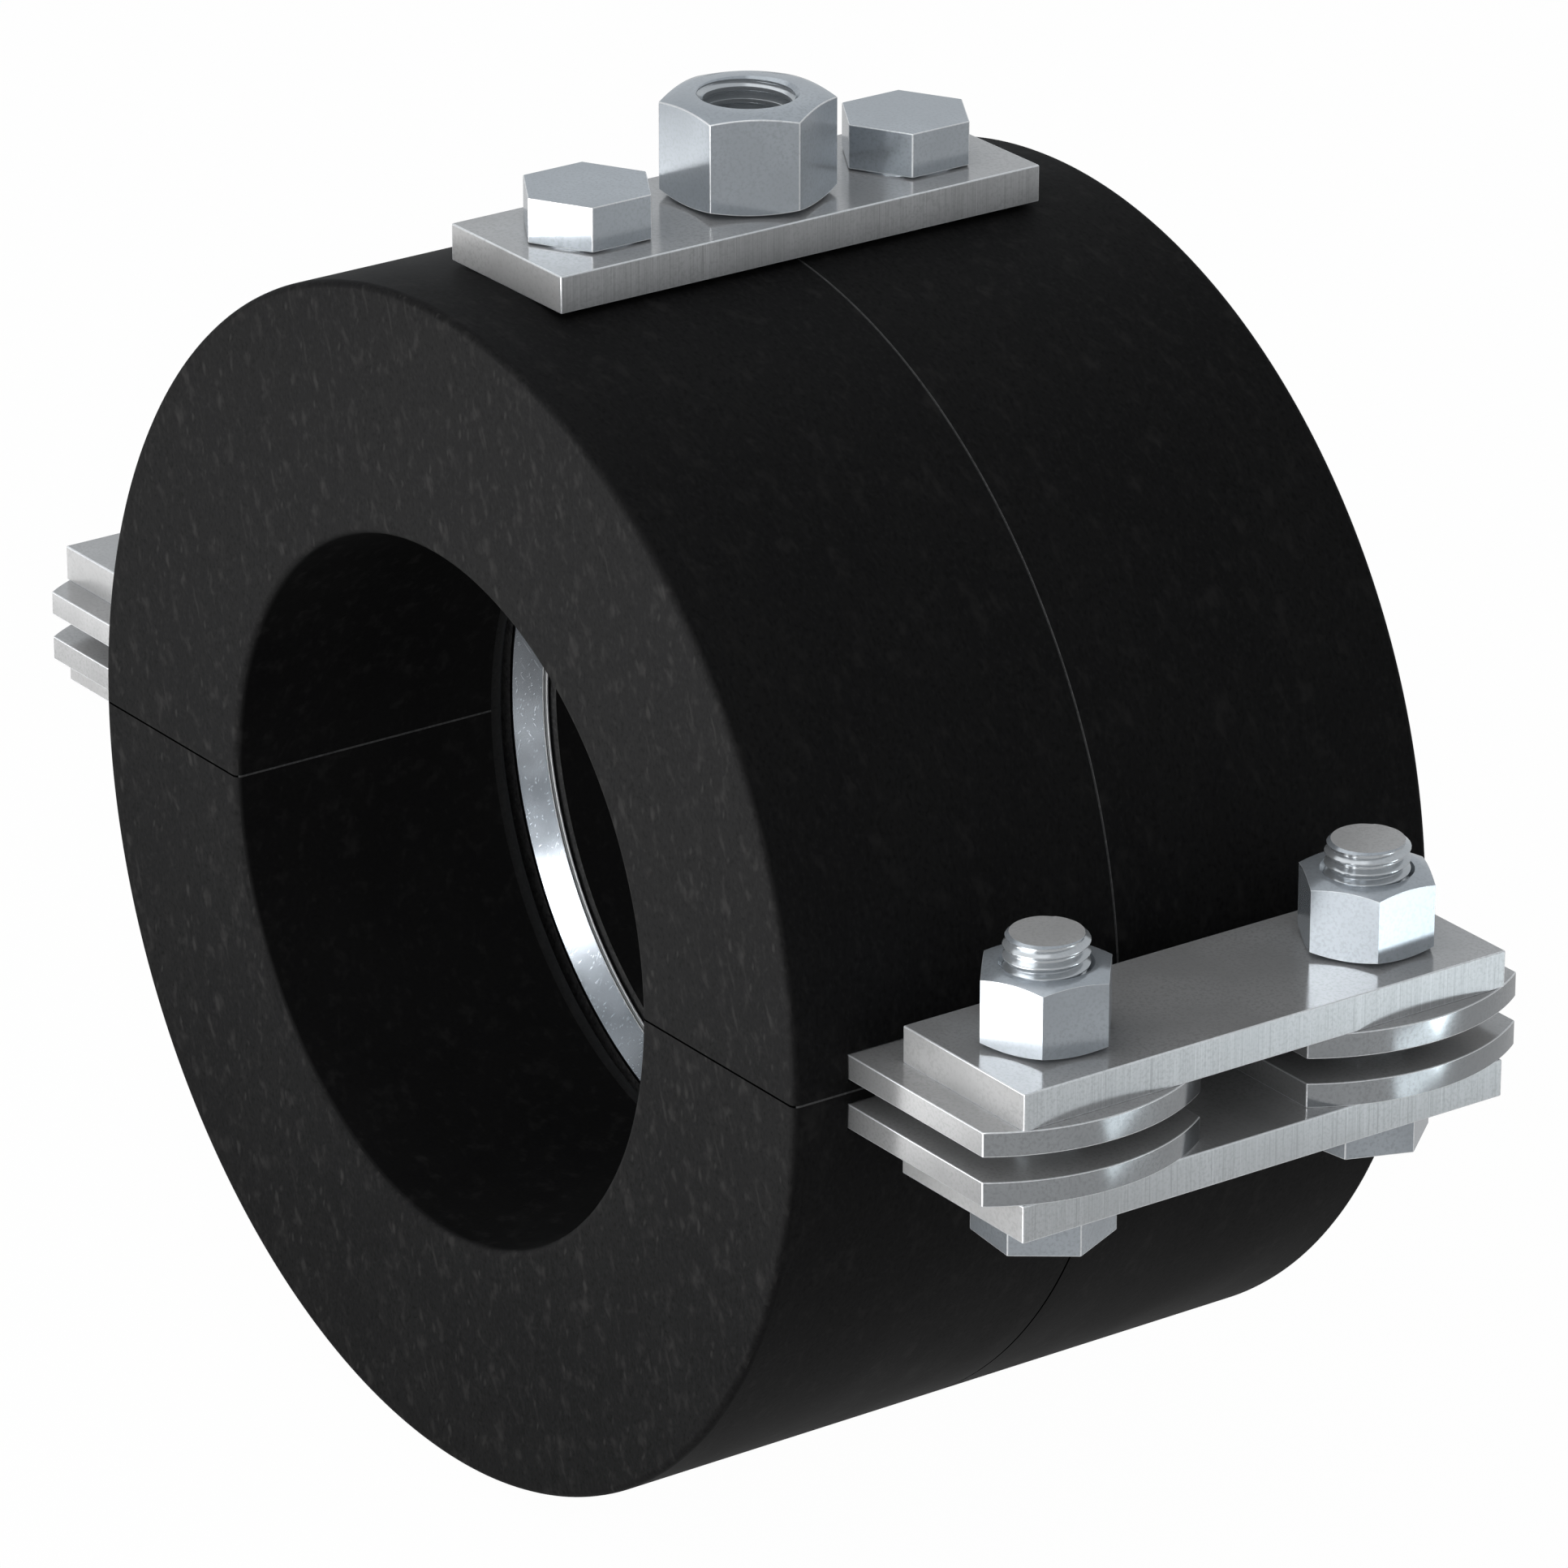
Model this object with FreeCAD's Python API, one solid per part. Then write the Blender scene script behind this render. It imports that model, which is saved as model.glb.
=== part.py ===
"""Insulated pipe clamp: a split insulation sleeve carried by two steel clamp bands.

Frame: the origin is the middle of the pipe bore, +Y runs along the pipe, +Z points up to
the hanger nut, and the clamp splits on the plane Z = 0. Millimetres.
"""
import FreeCAD, Part
import math
import os

# Pipe bore and insulation sleeve
PIPE_DIAMETER = 114.3
INSULATION_THICKNESS = 40.0
SLEEVE_LENGTH = 120.0
SPLIT_GAP = 0.4
SEAM_GAP = 0.1
FACE_EDGE_RADIUS = 1.2
SEAM_EDGE_RADIUS = 0.5

# Recess in the middle of the bore, with the loose steel ring that it traps
RELIEF_WIDTH = 5.3
RELIEF_DEPTH = 10.8
LIP_EDGE_RADIUS = 2.0
SEAT_LENGTH = 4.35
RING_LENGTH = 4.6
RING_HEIGHT = 4.4
RING_MOUTH_WALL = 0.25
RING_LIP_HEIGHT = 1.95
RING_GROOVE_DEPTH = 0.35
RING_LIP_LENGTH = 0.45
RING_LIP_CHAMFER = 0.3
RING_CLEARANCE = 0.15
REAR_RECESS_DEPTH = 1.6
REAR_RECESS_WALL = 8.8

# Clamp bands
FOAM_UNDER_BAND = 21.85
BAND_THICKNESS = 4.0
BAND_WIDTH = 40.0
BAND_SPACING = 60.0
BAND_BEND_RADIUS = 4.0
BAND_CLEARANCE = 0.2
TAB_GAP = 4.0
TAB_SETBACK = 3.35
TAB_BULGE = 6.2

# Side bars
BAR_WIDTH = 30.0
BAR_END_MARGIN = 15.0
BAR_THICKNESS = 6.0
BAR_STANDOFF = 6.6
BAR_EDGE_CHAMFER = 0.4

# Top plate and hanger nut
PLATE_WIDTH = 30.0
PLATE_END_MARGIN = 15.0
PLATE_THICKNESS = 6.0
PLATE_SEAT_DEPTH = 0.15
HANGER_NUT_ACROSS_FLATS = 24.0
HANGER_NUT_HEIGHT = 16.5
HANGER_NUT_CHAMFER = 1.15
HANGER_BORE_DIAMETER = 14.0
HANGER_SINK = 1.05

# Bolts and nuts
BOLT_DIAMETER = 13.1
BOLT_ACROSS_FLATS = 18.9
BOLT_HEAD_HEIGHT = 7.5
BOLT_POINT_CHAMFER = 0.95
BOLT_HOLE_CLEARANCE = 0.45
THREAD_CLEARANCE = 0.08
SIDE_BOLT_LENGTH = 40.8
TOP_BOLT_TIP_GAP = 2.0
SIDE_NUT_HEIGHT = 12.0
SIDE_NUT_CHAMFER = 1.0
NUT_FACE_SHARE = 0.875
BOSS_WALL = 4.37
BOSS_SEAT_GAP = 0.05

# Turn of each hexagon about its axis in degrees, front before rear
SIDE_NUT_TURNS = {"right": (20.7, 31.3), "left": (41.0, 8.0)}
SIDE_HEAD_TURNS = {"right": (54.1, 9.4), "left": (33.0, 47.0)}
TOP_HEAD_TURN = 30.0

BORE_RADIUS = PIPE_DIAMETER / 2
SLEEVE_RADIUS = BORE_RADIUS + INSULATION_THICKNESS
SEAT_START_Y = -SEAM_GAP / 2 - SEAT_LENGTH
LIP_END_Y = SEAT_START_Y - RELIEF_WIDTH
RING_OUTER_RADIUS = BORE_RADIUS + RING_HEIGHT
SEAT_RADIUS = RING_OUTER_RADIUS + RING_CLEARANCE
BAND_INNER_RADIUS = BORE_RADIUS + FOAM_UNDER_BAND
BAND_OUTER_RADIUS = BAND_INNER_RADIUS + BAND_THICKNESS
BAND_Y = BAND_SPACING / 2
BAR_LENGTH = BAND_SPACING + 2 * BAR_END_MARGIN
PLATE_LENGTH = BAND_SPACING + 2 * PLATE_END_MARGIN
BAR_CENTRE_X = SLEEVE_RADIUS + BAR_STANDOFF + BAR_WIDTH / 2
TAB_CORNER_X = BAR_CENTRE_X + BAR_WIDTH / 2 - TAB_SETBACK
TAB_BOTTOM_Z = TAB_GAP / 2
TAB_TOP_Z = TAB_BOTTOM_Z + BAND_THICKNESS
BAR_TOP_Z = TAB_TOP_Z + BAR_THICKNESS
PLATE_BOTTOM_Z = SLEEVE_RADIUS - PLATE_SEAT_DEPTH
PLATE_TOP_Z = PLATE_BOTTOM_Z + PLATE_THICKNESS
BOLT_HOLE_DIAMETER = BOLT_DIAMETER + 2 * BOLT_HOLE_CLEARANCE
THREAD_BORE_DIAMETER = BOLT_DIAMETER + 2 * THREAD_CLEARANCE
BOSS_DIAMETER = THREAD_BORE_DIAMETER + 2 * BOSS_WALL
TOP_BOLT_LENGTH = PLATE_TOP_Z - BAND_OUTER_RADIUS - TOP_BOLT_TIP_GAP
MODEL_REACH = 3 * SLEEVE_RADIUS

VERTICAL = FreeCAD.Vector(0, 0, 1)
PIPE_AXIS = FreeCAD.Vector(0, 1, 0)
ORIGIN = FreeCAD.Vector(0, 0, 0)


def polar(radius, degrees):
    """Point in the XZ plane at an angle from +X."""
    angle = math.radians(degrees)
    return FreeCAD.Vector(radius * math.cos(angle), 0, radius * math.sin(angle))


def arc(start, middle, end):
    """Circular edge through three points."""
    return Part.Arc(start, middle, end).toShape()


def line(start, end):
    """Straight edge between two points."""
    return Part.makeLine(start, end)


def rounded_corner(start, corner, end):
    """Quarter-circle edge from start to end, bulging towards their square corner."""
    centre = start + end - corner
    reach = (corner - centre).normalize() * start.distanceToPoint(centre)
    return arc(start, centre + reach, end)


def revolve_about_pipe(edges):
    """Full ring from a closed profile drawn in the YZ plane."""
    face = Part.Face(Part.Wire(edges))
    return face.revolve(ORIGIN, PIPE_AXIS, 360)


def profile_point(y, radius):
    """Point of a ring's section: place along the pipe and distance from its axis."""
    return FreeCAD.Vector(0, y, radius)


def half_space(upper):
    """Block that keeps the upper or the lower half of the sleeve, short of the split plane."""
    low_z = SPLIT_GAP / 2 if upper else -MODEL_REACH
    block = Part.makeBox(2 * MODEL_REACH, 2 * MODEL_REACH, MODEL_REACH - SPLIT_GAP / 2)
    block.translate(FreeCAD.Vector(-MODEL_REACH, -MODEL_REACH, low_z))
    return block


def front_sleeve_ring():
    """Front insulation ring: bore lip, relief groove and the seat of the steel ring."""
    front_y = -SLEEVE_LENGTH / 2
    seam_y = -SEAM_GAP / 2
    relief_radius = BORE_RADIUS + RELIEF_DEPTH
    face_bore = profile_point(front_y, BORE_RADIUS + FACE_EDGE_RADIUS)
    face_rim = profile_point(front_y, SLEEVE_RADIUS - FACE_EDGE_RADIUS)
    skin_front = profile_point(front_y + FACE_EDGE_RADIUS, SLEEVE_RADIUS)
    skin_seam = profile_point(seam_y - SEAM_EDGE_RADIUS, SLEEVE_RADIUS)
    seam_rim = profile_point(seam_y, SLEEVE_RADIUS - SEAM_EDGE_RADIUS)
    seam_seat = profile_point(seam_y, SEAT_RADIUS)
    seat_start = profile_point(SEAT_START_Y, SEAT_RADIUS)
    relief_back = profile_point(SEAT_START_Y, relief_radius)
    relief_front = profile_point(LIP_END_Y, relief_radius)
    lip_face = profile_point(LIP_END_Y, BORE_RADIUS + LIP_EDGE_RADIUS)
    lip_bore = profile_point(LIP_END_Y - LIP_EDGE_RADIUS, BORE_RADIUS)
    bore_front = profile_point(front_y + FACE_EDGE_RADIUS, BORE_RADIUS)
    return revolve_about_pipe([
        line(face_bore, face_rim),
        rounded_corner(face_rim, profile_point(front_y, SLEEVE_RADIUS), skin_front),
        line(skin_front, skin_seam),
        rounded_corner(skin_seam, profile_point(seam_y, SLEEVE_RADIUS), seam_rim),
        line(seam_rim, seam_seat),
        line(seam_seat, seat_start),
        line(seat_start, relief_back),
        line(relief_back, relief_front),
        line(relief_front, lip_face),
        rounded_corner(lip_face, profile_point(LIP_END_Y, BORE_RADIUS), lip_bore),
        line(lip_bore, bore_front),
        rounded_corner(bore_front, profile_point(front_y, BORE_RADIUS), face_bore),
    ])


def rear_sleeve_ring():
    """Rear insulation ring, with a shallow recess behind the steel ring."""
    back_y = SLEEVE_LENGTH / 2
    seam_y = SEAM_GAP / 2
    recess_y = seam_y + REAR_RECESS_DEPTH
    recess_radius = BORE_RADIUS + REAR_RECESS_WALL
    seam_rim = profile_point(seam_y, SLEEVE_RADIUS - SEAM_EDGE_RADIUS)
    skin_seam = profile_point(seam_y + SEAM_EDGE_RADIUS, SLEEVE_RADIUS)
    skin_back = profile_point(back_y - FACE_EDGE_RADIUS, SLEEVE_RADIUS)
    face_rim = profile_point(back_y, SLEEVE_RADIUS - FACE_EDGE_RADIUS)
    face_bore = profile_point(back_y, BORE_RADIUS + FACE_EDGE_RADIUS)
    bore_back = profile_point(back_y - FACE_EDGE_RADIUS, BORE_RADIUS)
    recess_bore = profile_point(recess_y, BORE_RADIUS)
    recess_corner = profile_point(recess_y, recess_radius)
    seam_recess = profile_point(seam_y, recess_radius)
    return revolve_about_pipe([
        rounded_corner(seam_rim, profile_point(seam_y, SLEEVE_RADIUS), skin_seam),
        line(skin_seam, skin_back),
        rounded_corner(skin_back, profile_point(back_y, SLEEVE_RADIUS), face_rim),
        line(face_rim, face_bore),
        rounded_corner(face_bore, profile_point(back_y, BORE_RADIUS), bore_back),
        line(bore_back, recess_bore),
        line(recess_bore, recess_corner),
        line(recess_corner, seam_recess),
        line(seam_recess, seam_rim),
    ])


def band_section(clearance):
    """Closed section of the upper band in the XZ plane: half ring, two bends and two tabs."""
    inner = BAND_INNER_RADIUS - clearance
    outer = BAND_OUTER_RADIUS + clearance
    bottom = TAB_BOTTOM_Z - clearance
    top = TAB_TOP_Z + clearance
    end_x = TAB_CORNER_X + TAB_BULGE + clearance
    tight = BAND_BEND_RADIUS - clearance
    wide = BAND_BEND_RADIUS + BAND_THICKNESS + clearance
    bend_z = TAB_TOP_Z + BAND_BEND_RADIUS
    bend_reach = BAND_OUTER_RADIUS + BAND_BEND_RADIUS
    bend_x = math.sqrt(bend_reach ** 2 - bend_z ** 2)
    bend_angle = math.degrees(math.asin(bend_z / bend_reach))
    middle_angle = (bend_angle + 180 + 270) / 2

    def on_bend(side, radius, degrees):
        point = polar(radius, degrees)
        return FreeCAD.Vector(side * (bend_x + point.x), 0, bend_z + point.z)

    def across(side, radius):
        point = polar(radius, bend_angle)
        return FreeCAD.Vector(side * point.x, 0, point.z)

    edges = []
    for radius, bend_radius, level in ((outer, tight, top), (inner, wide, bottom)):
        for side in (1, -1):
            foot = FreeCAD.Vector(side * bend_x, 0, level)
            edges.append(line(FreeCAD.Vector(side * end_x, 0, level), foot))
            edges.append(arc(foot, on_bend(side, bend_radius, middle_angle), across(side, radius)))
        edges.append(arc(across(1, radius), polar(radius, 90), across(-1, radius)))
    for side in (1, -1):
        edges.append(line(FreeCAD.Vector(side * end_x, 0, top), FreeCAD.Vector(side * end_x, 0, bottom)))
    return Part.Face(Part.Wire(Part.__sortEdges__(edges)))


def band_blank(band_y, clearance):
    """Upper band as a straight extrusion, with room around it when a clearance is given."""
    width = BAND_WIDTH + 2 * clearance
    blank = band_section(clearance).extrude(PIPE_AXIS * width)
    blank.translate(FreeCAD.Vector(0, band_y - width / 2, 0))
    return blank


def band_outline(band_y):
    """Plan outline of a band: straight sides, and tab ends bowed between sharp corners."""
    front = band_y - BAND_WIDTH / 2
    back = band_y + BAND_WIDTH / 2
    tip_x = TAB_CORNER_X + TAB_BULGE
    right_front = FreeCAD.Vector(TAB_CORNER_X, front, 0)
    right_back = FreeCAD.Vector(TAB_CORNER_X, back, 0)
    left_front = FreeCAD.Vector(-TAB_CORNER_X, front, 0)
    left_back = FreeCAD.Vector(-TAB_CORNER_X, back, 0)
    outline = Part.Wire([
        line(left_front, right_front),
        arc(right_front, FreeCAD.Vector(tip_x, band_y, 0), right_back),
        line(right_back, left_back),
        arc(left_back, FreeCAD.Vector(-tip_x, band_y, 0), left_front),
    ])
    return Part.Face(outline).extrude(VERTICAL * MODEL_REACH)


def upright_hole(x, y, diameter):
    """Cutter for a through hole along Z."""
    base = FreeCAD.Vector(x, y, -MODEL_REACH)
    return Part.makeCylinder(diameter / 2, 2 * MODEL_REACH, base, VERTICAL)


def upper_band(band_y):
    """Upper half band with its two drilled tabs."""
    band = band_blank(band_y, 0).common(band_outline(band_y))
    for side in (1, -1):
        band = band.cut(upright_hole(side * BAR_CENTRE_X, band_y, BOLT_HOLE_DIAMETER))
    return band


def sleeve_half(ring, band_y, upper):
    """One insulation half: the ring cut at the split, with the slot that holds its band."""
    half = ring.common(half_space(upper))
    slot = band_blank(band_y, BAND_CLEARANCE)
    if not upper:
        slot = flipped(slot)
    half = half.cut(slot)
    if upper:
        half = half.cut(plate_seat())
        half = half.cut(boss_pocket(band_y))
    return half


def plate_seat():
    """Shallow flat that the top plate presses into the crown of the sleeve."""
    seat = Part.makeBox(2 * MODEL_REACH, 2 * MODEL_REACH, MODEL_REACH)
    seat.translate(FreeCAD.Vector(-MODEL_REACH, -MODEL_REACH, PLATE_BOTTOM_Z))
    return seat


def boss_pocket(band_y):
    """Round hole through the crown of the sleeve for a threaded boss."""
    base = FreeCAD.Vector(0, band_y, BAND_INNER_RADIUS)
    return Part.makeCylinder(BOSS_DIAMETER / 2 + BAND_CLEARANCE, MODEL_REACH, base, VERTICAL)


def flipped(shape):
    """Mirror image of an upper piece below the split plane."""
    return shape.mirror(ORIGIN, VERTICAL)


def bore_ring():
    """Steel ring in the middle of the bore: tapered throat, fine groove and inner lip."""
    front_y = SEAT_START_Y + RING_CLEARANCE
    back_y = front_y + RING_LENGTH
    lip_y = back_y - RING_LIP_LENGTH
    groove_y = lip_y - RING_GROOVE_DEPTH
    mouth_radius = RING_OUTER_RADIUS - RING_MOUTH_WALL
    throat_radius = BORE_RADIUS + RING_LIP_HEIGHT
    corners = [
        profile_point(front_y, RING_OUTER_RADIUS),
        profile_point(front_y, mouth_radius),
        profile_point(groove_y, throat_radius),
        profile_point((groove_y + lip_y) / 2, throat_radius + RING_GROOVE_DEPTH),
        profile_point(lip_y, throat_radius),
        profile_point(lip_y, BORE_RADIUS + RING_LIP_CHAMFER),
        profile_point(lip_y + RING_LIP_CHAMFER, BORE_RADIUS),
        profile_point(back_y, BORE_RADIUS),
        profile_point(back_y, RING_OUTER_RADIUS),
    ]
    outline = Part.makePolygon(corners + corners[:1])
    return Part.Face(outline).revolve(ORIGIN, PIPE_AXIS, 360)


def chamfered_plate(width, length, thickness):
    """Flat bar centred on the origin's XY, its bottom on Z = 0, with broken edges."""
    plate = Part.makeBox(width, length, thickness)
    plate.translate(FreeCAD.Vector(-width / 2, -length / 2, 0))
    return plate.makeChamfer(BAR_EDGE_CHAMFER, plate.Edges)


def upper_side_bar(side):
    """Flat bar on top of the two tabs at one side."""
    bar = chamfered_plate(BAR_WIDTH, BAR_LENGTH, BAR_THICKNESS)
    bar.translate(FreeCAD.Vector(side * BAR_CENTRE_X, 0, TAB_TOP_Z))
    for band_y in (-BAND_Y, BAND_Y):
        bar = bar.cut(upright_hole(side * BAR_CENTRE_X, band_y, BOLT_HOLE_DIAMETER))
    return bar


def top_plate():
    """Plate on the crown of the sleeve that carries the hanger nut."""
    plate = chamfered_plate(PLATE_WIDTH, PLATE_LENGTH, PLATE_THICKNESS)
    plate.translate(FreeCAD.Vector(0, 0, PLATE_BOTTOM_Z))
    for band_y in (-BAND_Y, BAND_Y):
        plate = plate.cut(upright_hole(0, band_y, BOLT_HOLE_DIAMETER))
    return plate


def hexagon(across_flats, height, turn):
    """Sharp hexagonal prism on Z = 0."""
    corner_radius = across_flats / math.sqrt(3)
    corners = []
    for step in range(7):
        angle = math.radians(turn + 60 * step)
        corners.append(FreeCAD.Vector(corner_radius * math.cos(angle), corner_radius * math.sin(angle), 0))
    return Part.Face(Part.makePolygon(corners)).extrude(VERTICAL * height)


def hexagon_nut(across_flats, height, chamfer, bore_diameter, sink, turn):
    """Nut on Z = 0 with both ends turned to a round face, and a bore that may be countersunk."""
    corner_radius = across_flats / math.sqrt(3)
    face_radius = across_flats / 2 * NUT_FACE_SHARE
    turned = Part.makePolygon([
        FreeCAD.Vector(0, 0, 0),
        FreeCAD.Vector(face_radius, 0, 0),
        FreeCAD.Vector(corner_radius, 0, chamfer),
        FreeCAD.Vector(corner_radius, 0, height - chamfer),
        FreeCAD.Vector(face_radius, 0, height),
        FreeCAD.Vector(0, 0, height),
        FreeCAD.Vector(0, 0, 0),
    ])
    body = Part.Face(turned).revolve(ORIGIN, VERTICAL, 360)
    nut = hexagon(across_flats, height, turn).common(body)
    nut = nut.cut(Part.makeCylinder(bore_diameter / 2, height))
    if sink > 0:
        bore_radius = bore_diameter / 2
        bottom_sink = Part.makeCone(bore_radius + sink, bore_radius, sink)
        top_sink = Part.makeCone(bore_radius, bore_radius + sink, sink)
        top_sink.translate(FreeCAD.Vector(0, 0, height - sink))
        nut = nut.cut(bottom_sink).cut(top_sink)
    return nut


def hexagon_bolt(length, turn):
    """Bolt with its head's seat on Z = 0, the head above and the shank pointing down."""
    head = hexagon(BOLT_ACROSS_FLATS, BOLT_HEAD_HEIGHT, turn)
    shank_radius = BOLT_DIAMETER / 2
    straight = length - BOLT_POINT_CHAMFER
    shank = Part.makeCylinder(shank_radius, straight, FreeCAD.Vector(0, 0, -straight))
    point = Part.makeCone(shank_radius - BOLT_POINT_CHAMFER, shank_radius, BOLT_POINT_CHAMFER,
                          FreeCAD.Vector(0, 0, -length))
    return head.fuse([shank, point]).removeSplitter()


def side_bolt(side, band_y, turn):
    """Bolt pushed up from below, with its head under the lower bar."""
    bolt = flipped(hexagon_bolt(SIDE_BOLT_LENGTH, turn))
    bolt.translate(FreeCAD.Vector(side * BAR_CENTRE_X, band_y, -BAR_TOP_Z))
    return bolt


def side_nut(side, band_y, turn):
    """Nut that clamps the upper bar on to the tabs."""
    nut = hexagon_nut(BOLT_ACROSS_FLATS, SIDE_NUT_HEIGHT, SIDE_NUT_CHAMFER, THREAD_BORE_DIAMETER, 0, turn)
    nut.translate(FreeCAD.Vector(side * BAR_CENTRE_X, band_y, BAR_TOP_Z))
    return nut


def hanger_nut():
    """Large threaded nut in the middle of the top plate, for the hanger rod."""
    nut = hexagon_nut(HANGER_NUT_ACROSS_FLATS, HANGER_NUT_HEIGHT, HANGER_NUT_CHAMFER,
                      HANGER_BORE_DIAMETER, HANGER_SINK, 0)
    nut.translate(FreeCAD.Vector(0, 0, PLATE_TOP_Z))
    return nut


def top_bolt(band_y):
    """Bolt through the top plate into the boss below it."""
    bolt = hexagon_bolt(TOP_BOLT_LENGTH, TOP_HEAD_TURN)
    bolt.translate(FreeCAD.Vector(0, band_y, PLATE_TOP_Z))
    return bolt


def band_boss(band_y):
    """Threaded boss on the crown of an upper band, under the top plate."""
    bottom = BAND_OUTER_RADIUS + BOSS_SEAT_GAP
    height = PLATE_BOTTOM_Z - bottom
    boss = Part.makeCylinder(BOSS_DIAMETER / 2, height, FreeCAD.Vector(0, band_y, bottom))
    return boss.cut(upright_hole(0, band_y, THREAD_BORE_DIAMETER))


def build_parts():
    """Every piece of the clamp by the name of its node."""
    parts = {"bore_ring": bore_ring(), "top_plate": top_plate(), "hanger_nut": hanger_nut()}
    rows = (("front", -BAND_Y, front_sleeve_ring()), ("rear", BAND_Y, rear_sleeve_ring()))
    for row, band_y, ring in rows:
        parts[f"insulation_{row}_upper"] = sleeve_half(ring, band_y, True)
        parts[f"insulation_{row}_lower"] = sleeve_half(ring, band_y, False)
        parts[f"band_{row}_upper"] = upper_band(band_y)
        parts[f"band_{row}_lower"] = flipped(upper_band(band_y))
        parts[f"band_boss_{row}"] = band_boss(band_y)
        parts[f"top_bolt_{row}"] = top_bolt(band_y)
    for name, side in (("right", 1), ("left", -1)):
        parts[f"side_bar_{name}_upper"] = upper_side_bar(side)
        parts[f"side_bar_{name}_lower"] = flipped(upper_side_bar(side))
        for index, (row, band_y, _) in enumerate(rows):
            parts[f"side_bolt_{name}_{row}"] = side_bolt(side, band_y, SIDE_HEAD_TURNS[name][index])
            parts[f"side_nut_{name}_{row}"] = side_nut(side, band_y, SIDE_NUT_TURNS[name][index])
    return parts


def main():
    """Writes one STEP file for each piece."""
    os.makedirs("parts", exist_ok=True)
    for name, shape in build_parts().items():
        solids = shape.Solids
        if len(solids) != 1 or not shape.isValid():
            raise ValueError(f"{name}: {len(solids)} solids, valid {shape.isValid()}")
        solids[0].exportStep(f"parts/{name}.step")
        print(f"{name}: volume {shape.Volume:.0f} mm3")


main()
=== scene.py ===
"""Studio scene of the insulated pipe clamp.

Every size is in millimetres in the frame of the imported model: the origin is the middle of the
pipe bore, +Y runs along the pipe and +Z points up to the hanger nut. The meshes are made in
metres, and each finished piece stands at the origin with its place in its mesh.
"""
import logging
import math
from dataclasses import dataclass, field
from enum import Enum, IntEnum

import bmesh
import bpy
from mathutils import Matrix, Vector


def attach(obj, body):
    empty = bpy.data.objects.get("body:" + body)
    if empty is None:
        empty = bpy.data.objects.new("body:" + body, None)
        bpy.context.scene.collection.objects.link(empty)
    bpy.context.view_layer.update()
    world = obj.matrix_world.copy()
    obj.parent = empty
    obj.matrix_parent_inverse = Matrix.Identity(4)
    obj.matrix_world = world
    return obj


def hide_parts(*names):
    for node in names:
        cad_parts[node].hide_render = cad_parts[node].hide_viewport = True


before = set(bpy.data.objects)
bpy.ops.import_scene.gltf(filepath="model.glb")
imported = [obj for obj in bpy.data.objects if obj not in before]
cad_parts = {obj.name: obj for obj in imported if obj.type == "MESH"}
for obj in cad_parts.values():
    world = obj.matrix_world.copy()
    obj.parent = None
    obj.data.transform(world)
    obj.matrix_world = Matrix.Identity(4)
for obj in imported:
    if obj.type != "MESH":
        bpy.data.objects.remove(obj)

log = logging.getLogger("pipe_clamp")

MM = 0.001
ROLL_RADIUS = 80.0
MERGE_REACH = 0.002
THREAD_MERGE_REACH = 0.001
THREAD_STEPS = 48
TURN_STEPS = 96
OVERSHOOT = 2.0

Point2 = tuple[float, float]
Point3 = tuple[float, float, float]
Colour = tuple[float, float, float]


class Half(Enum):
    """The two halves into which the clamp splits."""

    UPPER = "upper"
    LOWER = "lower"

    @property
    def sign(self) -> int:
        """+1 above the split plane, -1 below it."""
        return 1 if self is Half.UPPER else -1

    @property
    def body(self) -> str:
        """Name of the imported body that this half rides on."""
        return f"{self.value}_half"


class Side(Enum):
    """The two sides on which the halves are bolted together."""

    RIGHT = "right"
    LEFT = "left"

    @property
    def sign(self) -> int:
        """+1 on the +X side, -1 on the -X side."""
        return 1 if self is Side.RIGHT else -1


class Row(Enum):
    """The two rows along the pipe, each with a sleeve ring, a band and its bolts."""

    FRONT = "front"
    REAR = "rear"

    @property
    def sign(self) -> int:
        """-1 for the row nearer to the camera, +1 for the row behind it."""
        return -1 if self is Row.FRONT else 1


class FoamZone(Enum):
    """Where on the foam a finish lies, which sets how dark and how scuffed it is, and where painted
    highlight, painted light or painted shade lies on it.
    """

    FACE = "face"
    SKIN = "skin"
    BORE = "bore"
    PAINTED_HIGHLIGHT_LINE = "lip"
    PAINTED_SHADE_GAP = "crack"
    STEP = "step"
    WALL = "wall"
    ROLL = "roll"


class SteelZone(Enum):
    """How a steel surface was made; some zones also carry painted highlight, painted light and painted
    shade.
    """

    FLAT = "flat"
    SHEARED = "sheared"
    EDGE = "edge"
    END = "end"
    RIM = "rim"
    PAINTED_GLINT = "worn"
    PAINTED_LIGHT_LAND = "land"
    PAINTED_SHADE_GROOVE = "groove"
    HEX = "hex"
    THREAD = "thread"


class StripSlot(IntEnum):
    """Material slots of the bars, the plate and the bands."""

    FLAT = 0
    SHEARED = 1
    EDGE = 2
    END = 3
    RIM = 4


class FastenerSlot(IntEnum):
    """Material slots of the bolts and nuts."""

    HEX = 0
    EDGE = 1
    THREAD = 2
    END = 3


class RingSlot(IntEnum):
    """Material slots of the steel ring."""

    CONE = 0
    PAINTED_LIGHT_LAND = 1
    PAINTED_GLINT = 2
    PAINTED_SHADE_GROOVE = 3


def deselect() -> None:
    """Leave edit mode and deselect every object."""
    if bpy.context.object and bpy.context.object.mode != "OBJECT":
        bpy.ops.object.mode_set(mode="OBJECT")
    bpy.ops.object.select_all(action="DESELECT")


def activate(piece: bpy.types.Object) -> None:
    """Make one object the only selected and the active one."""
    deselect()
    piece.select_set(True)
    bpy.context.view_layer.objects.active = piece


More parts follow.
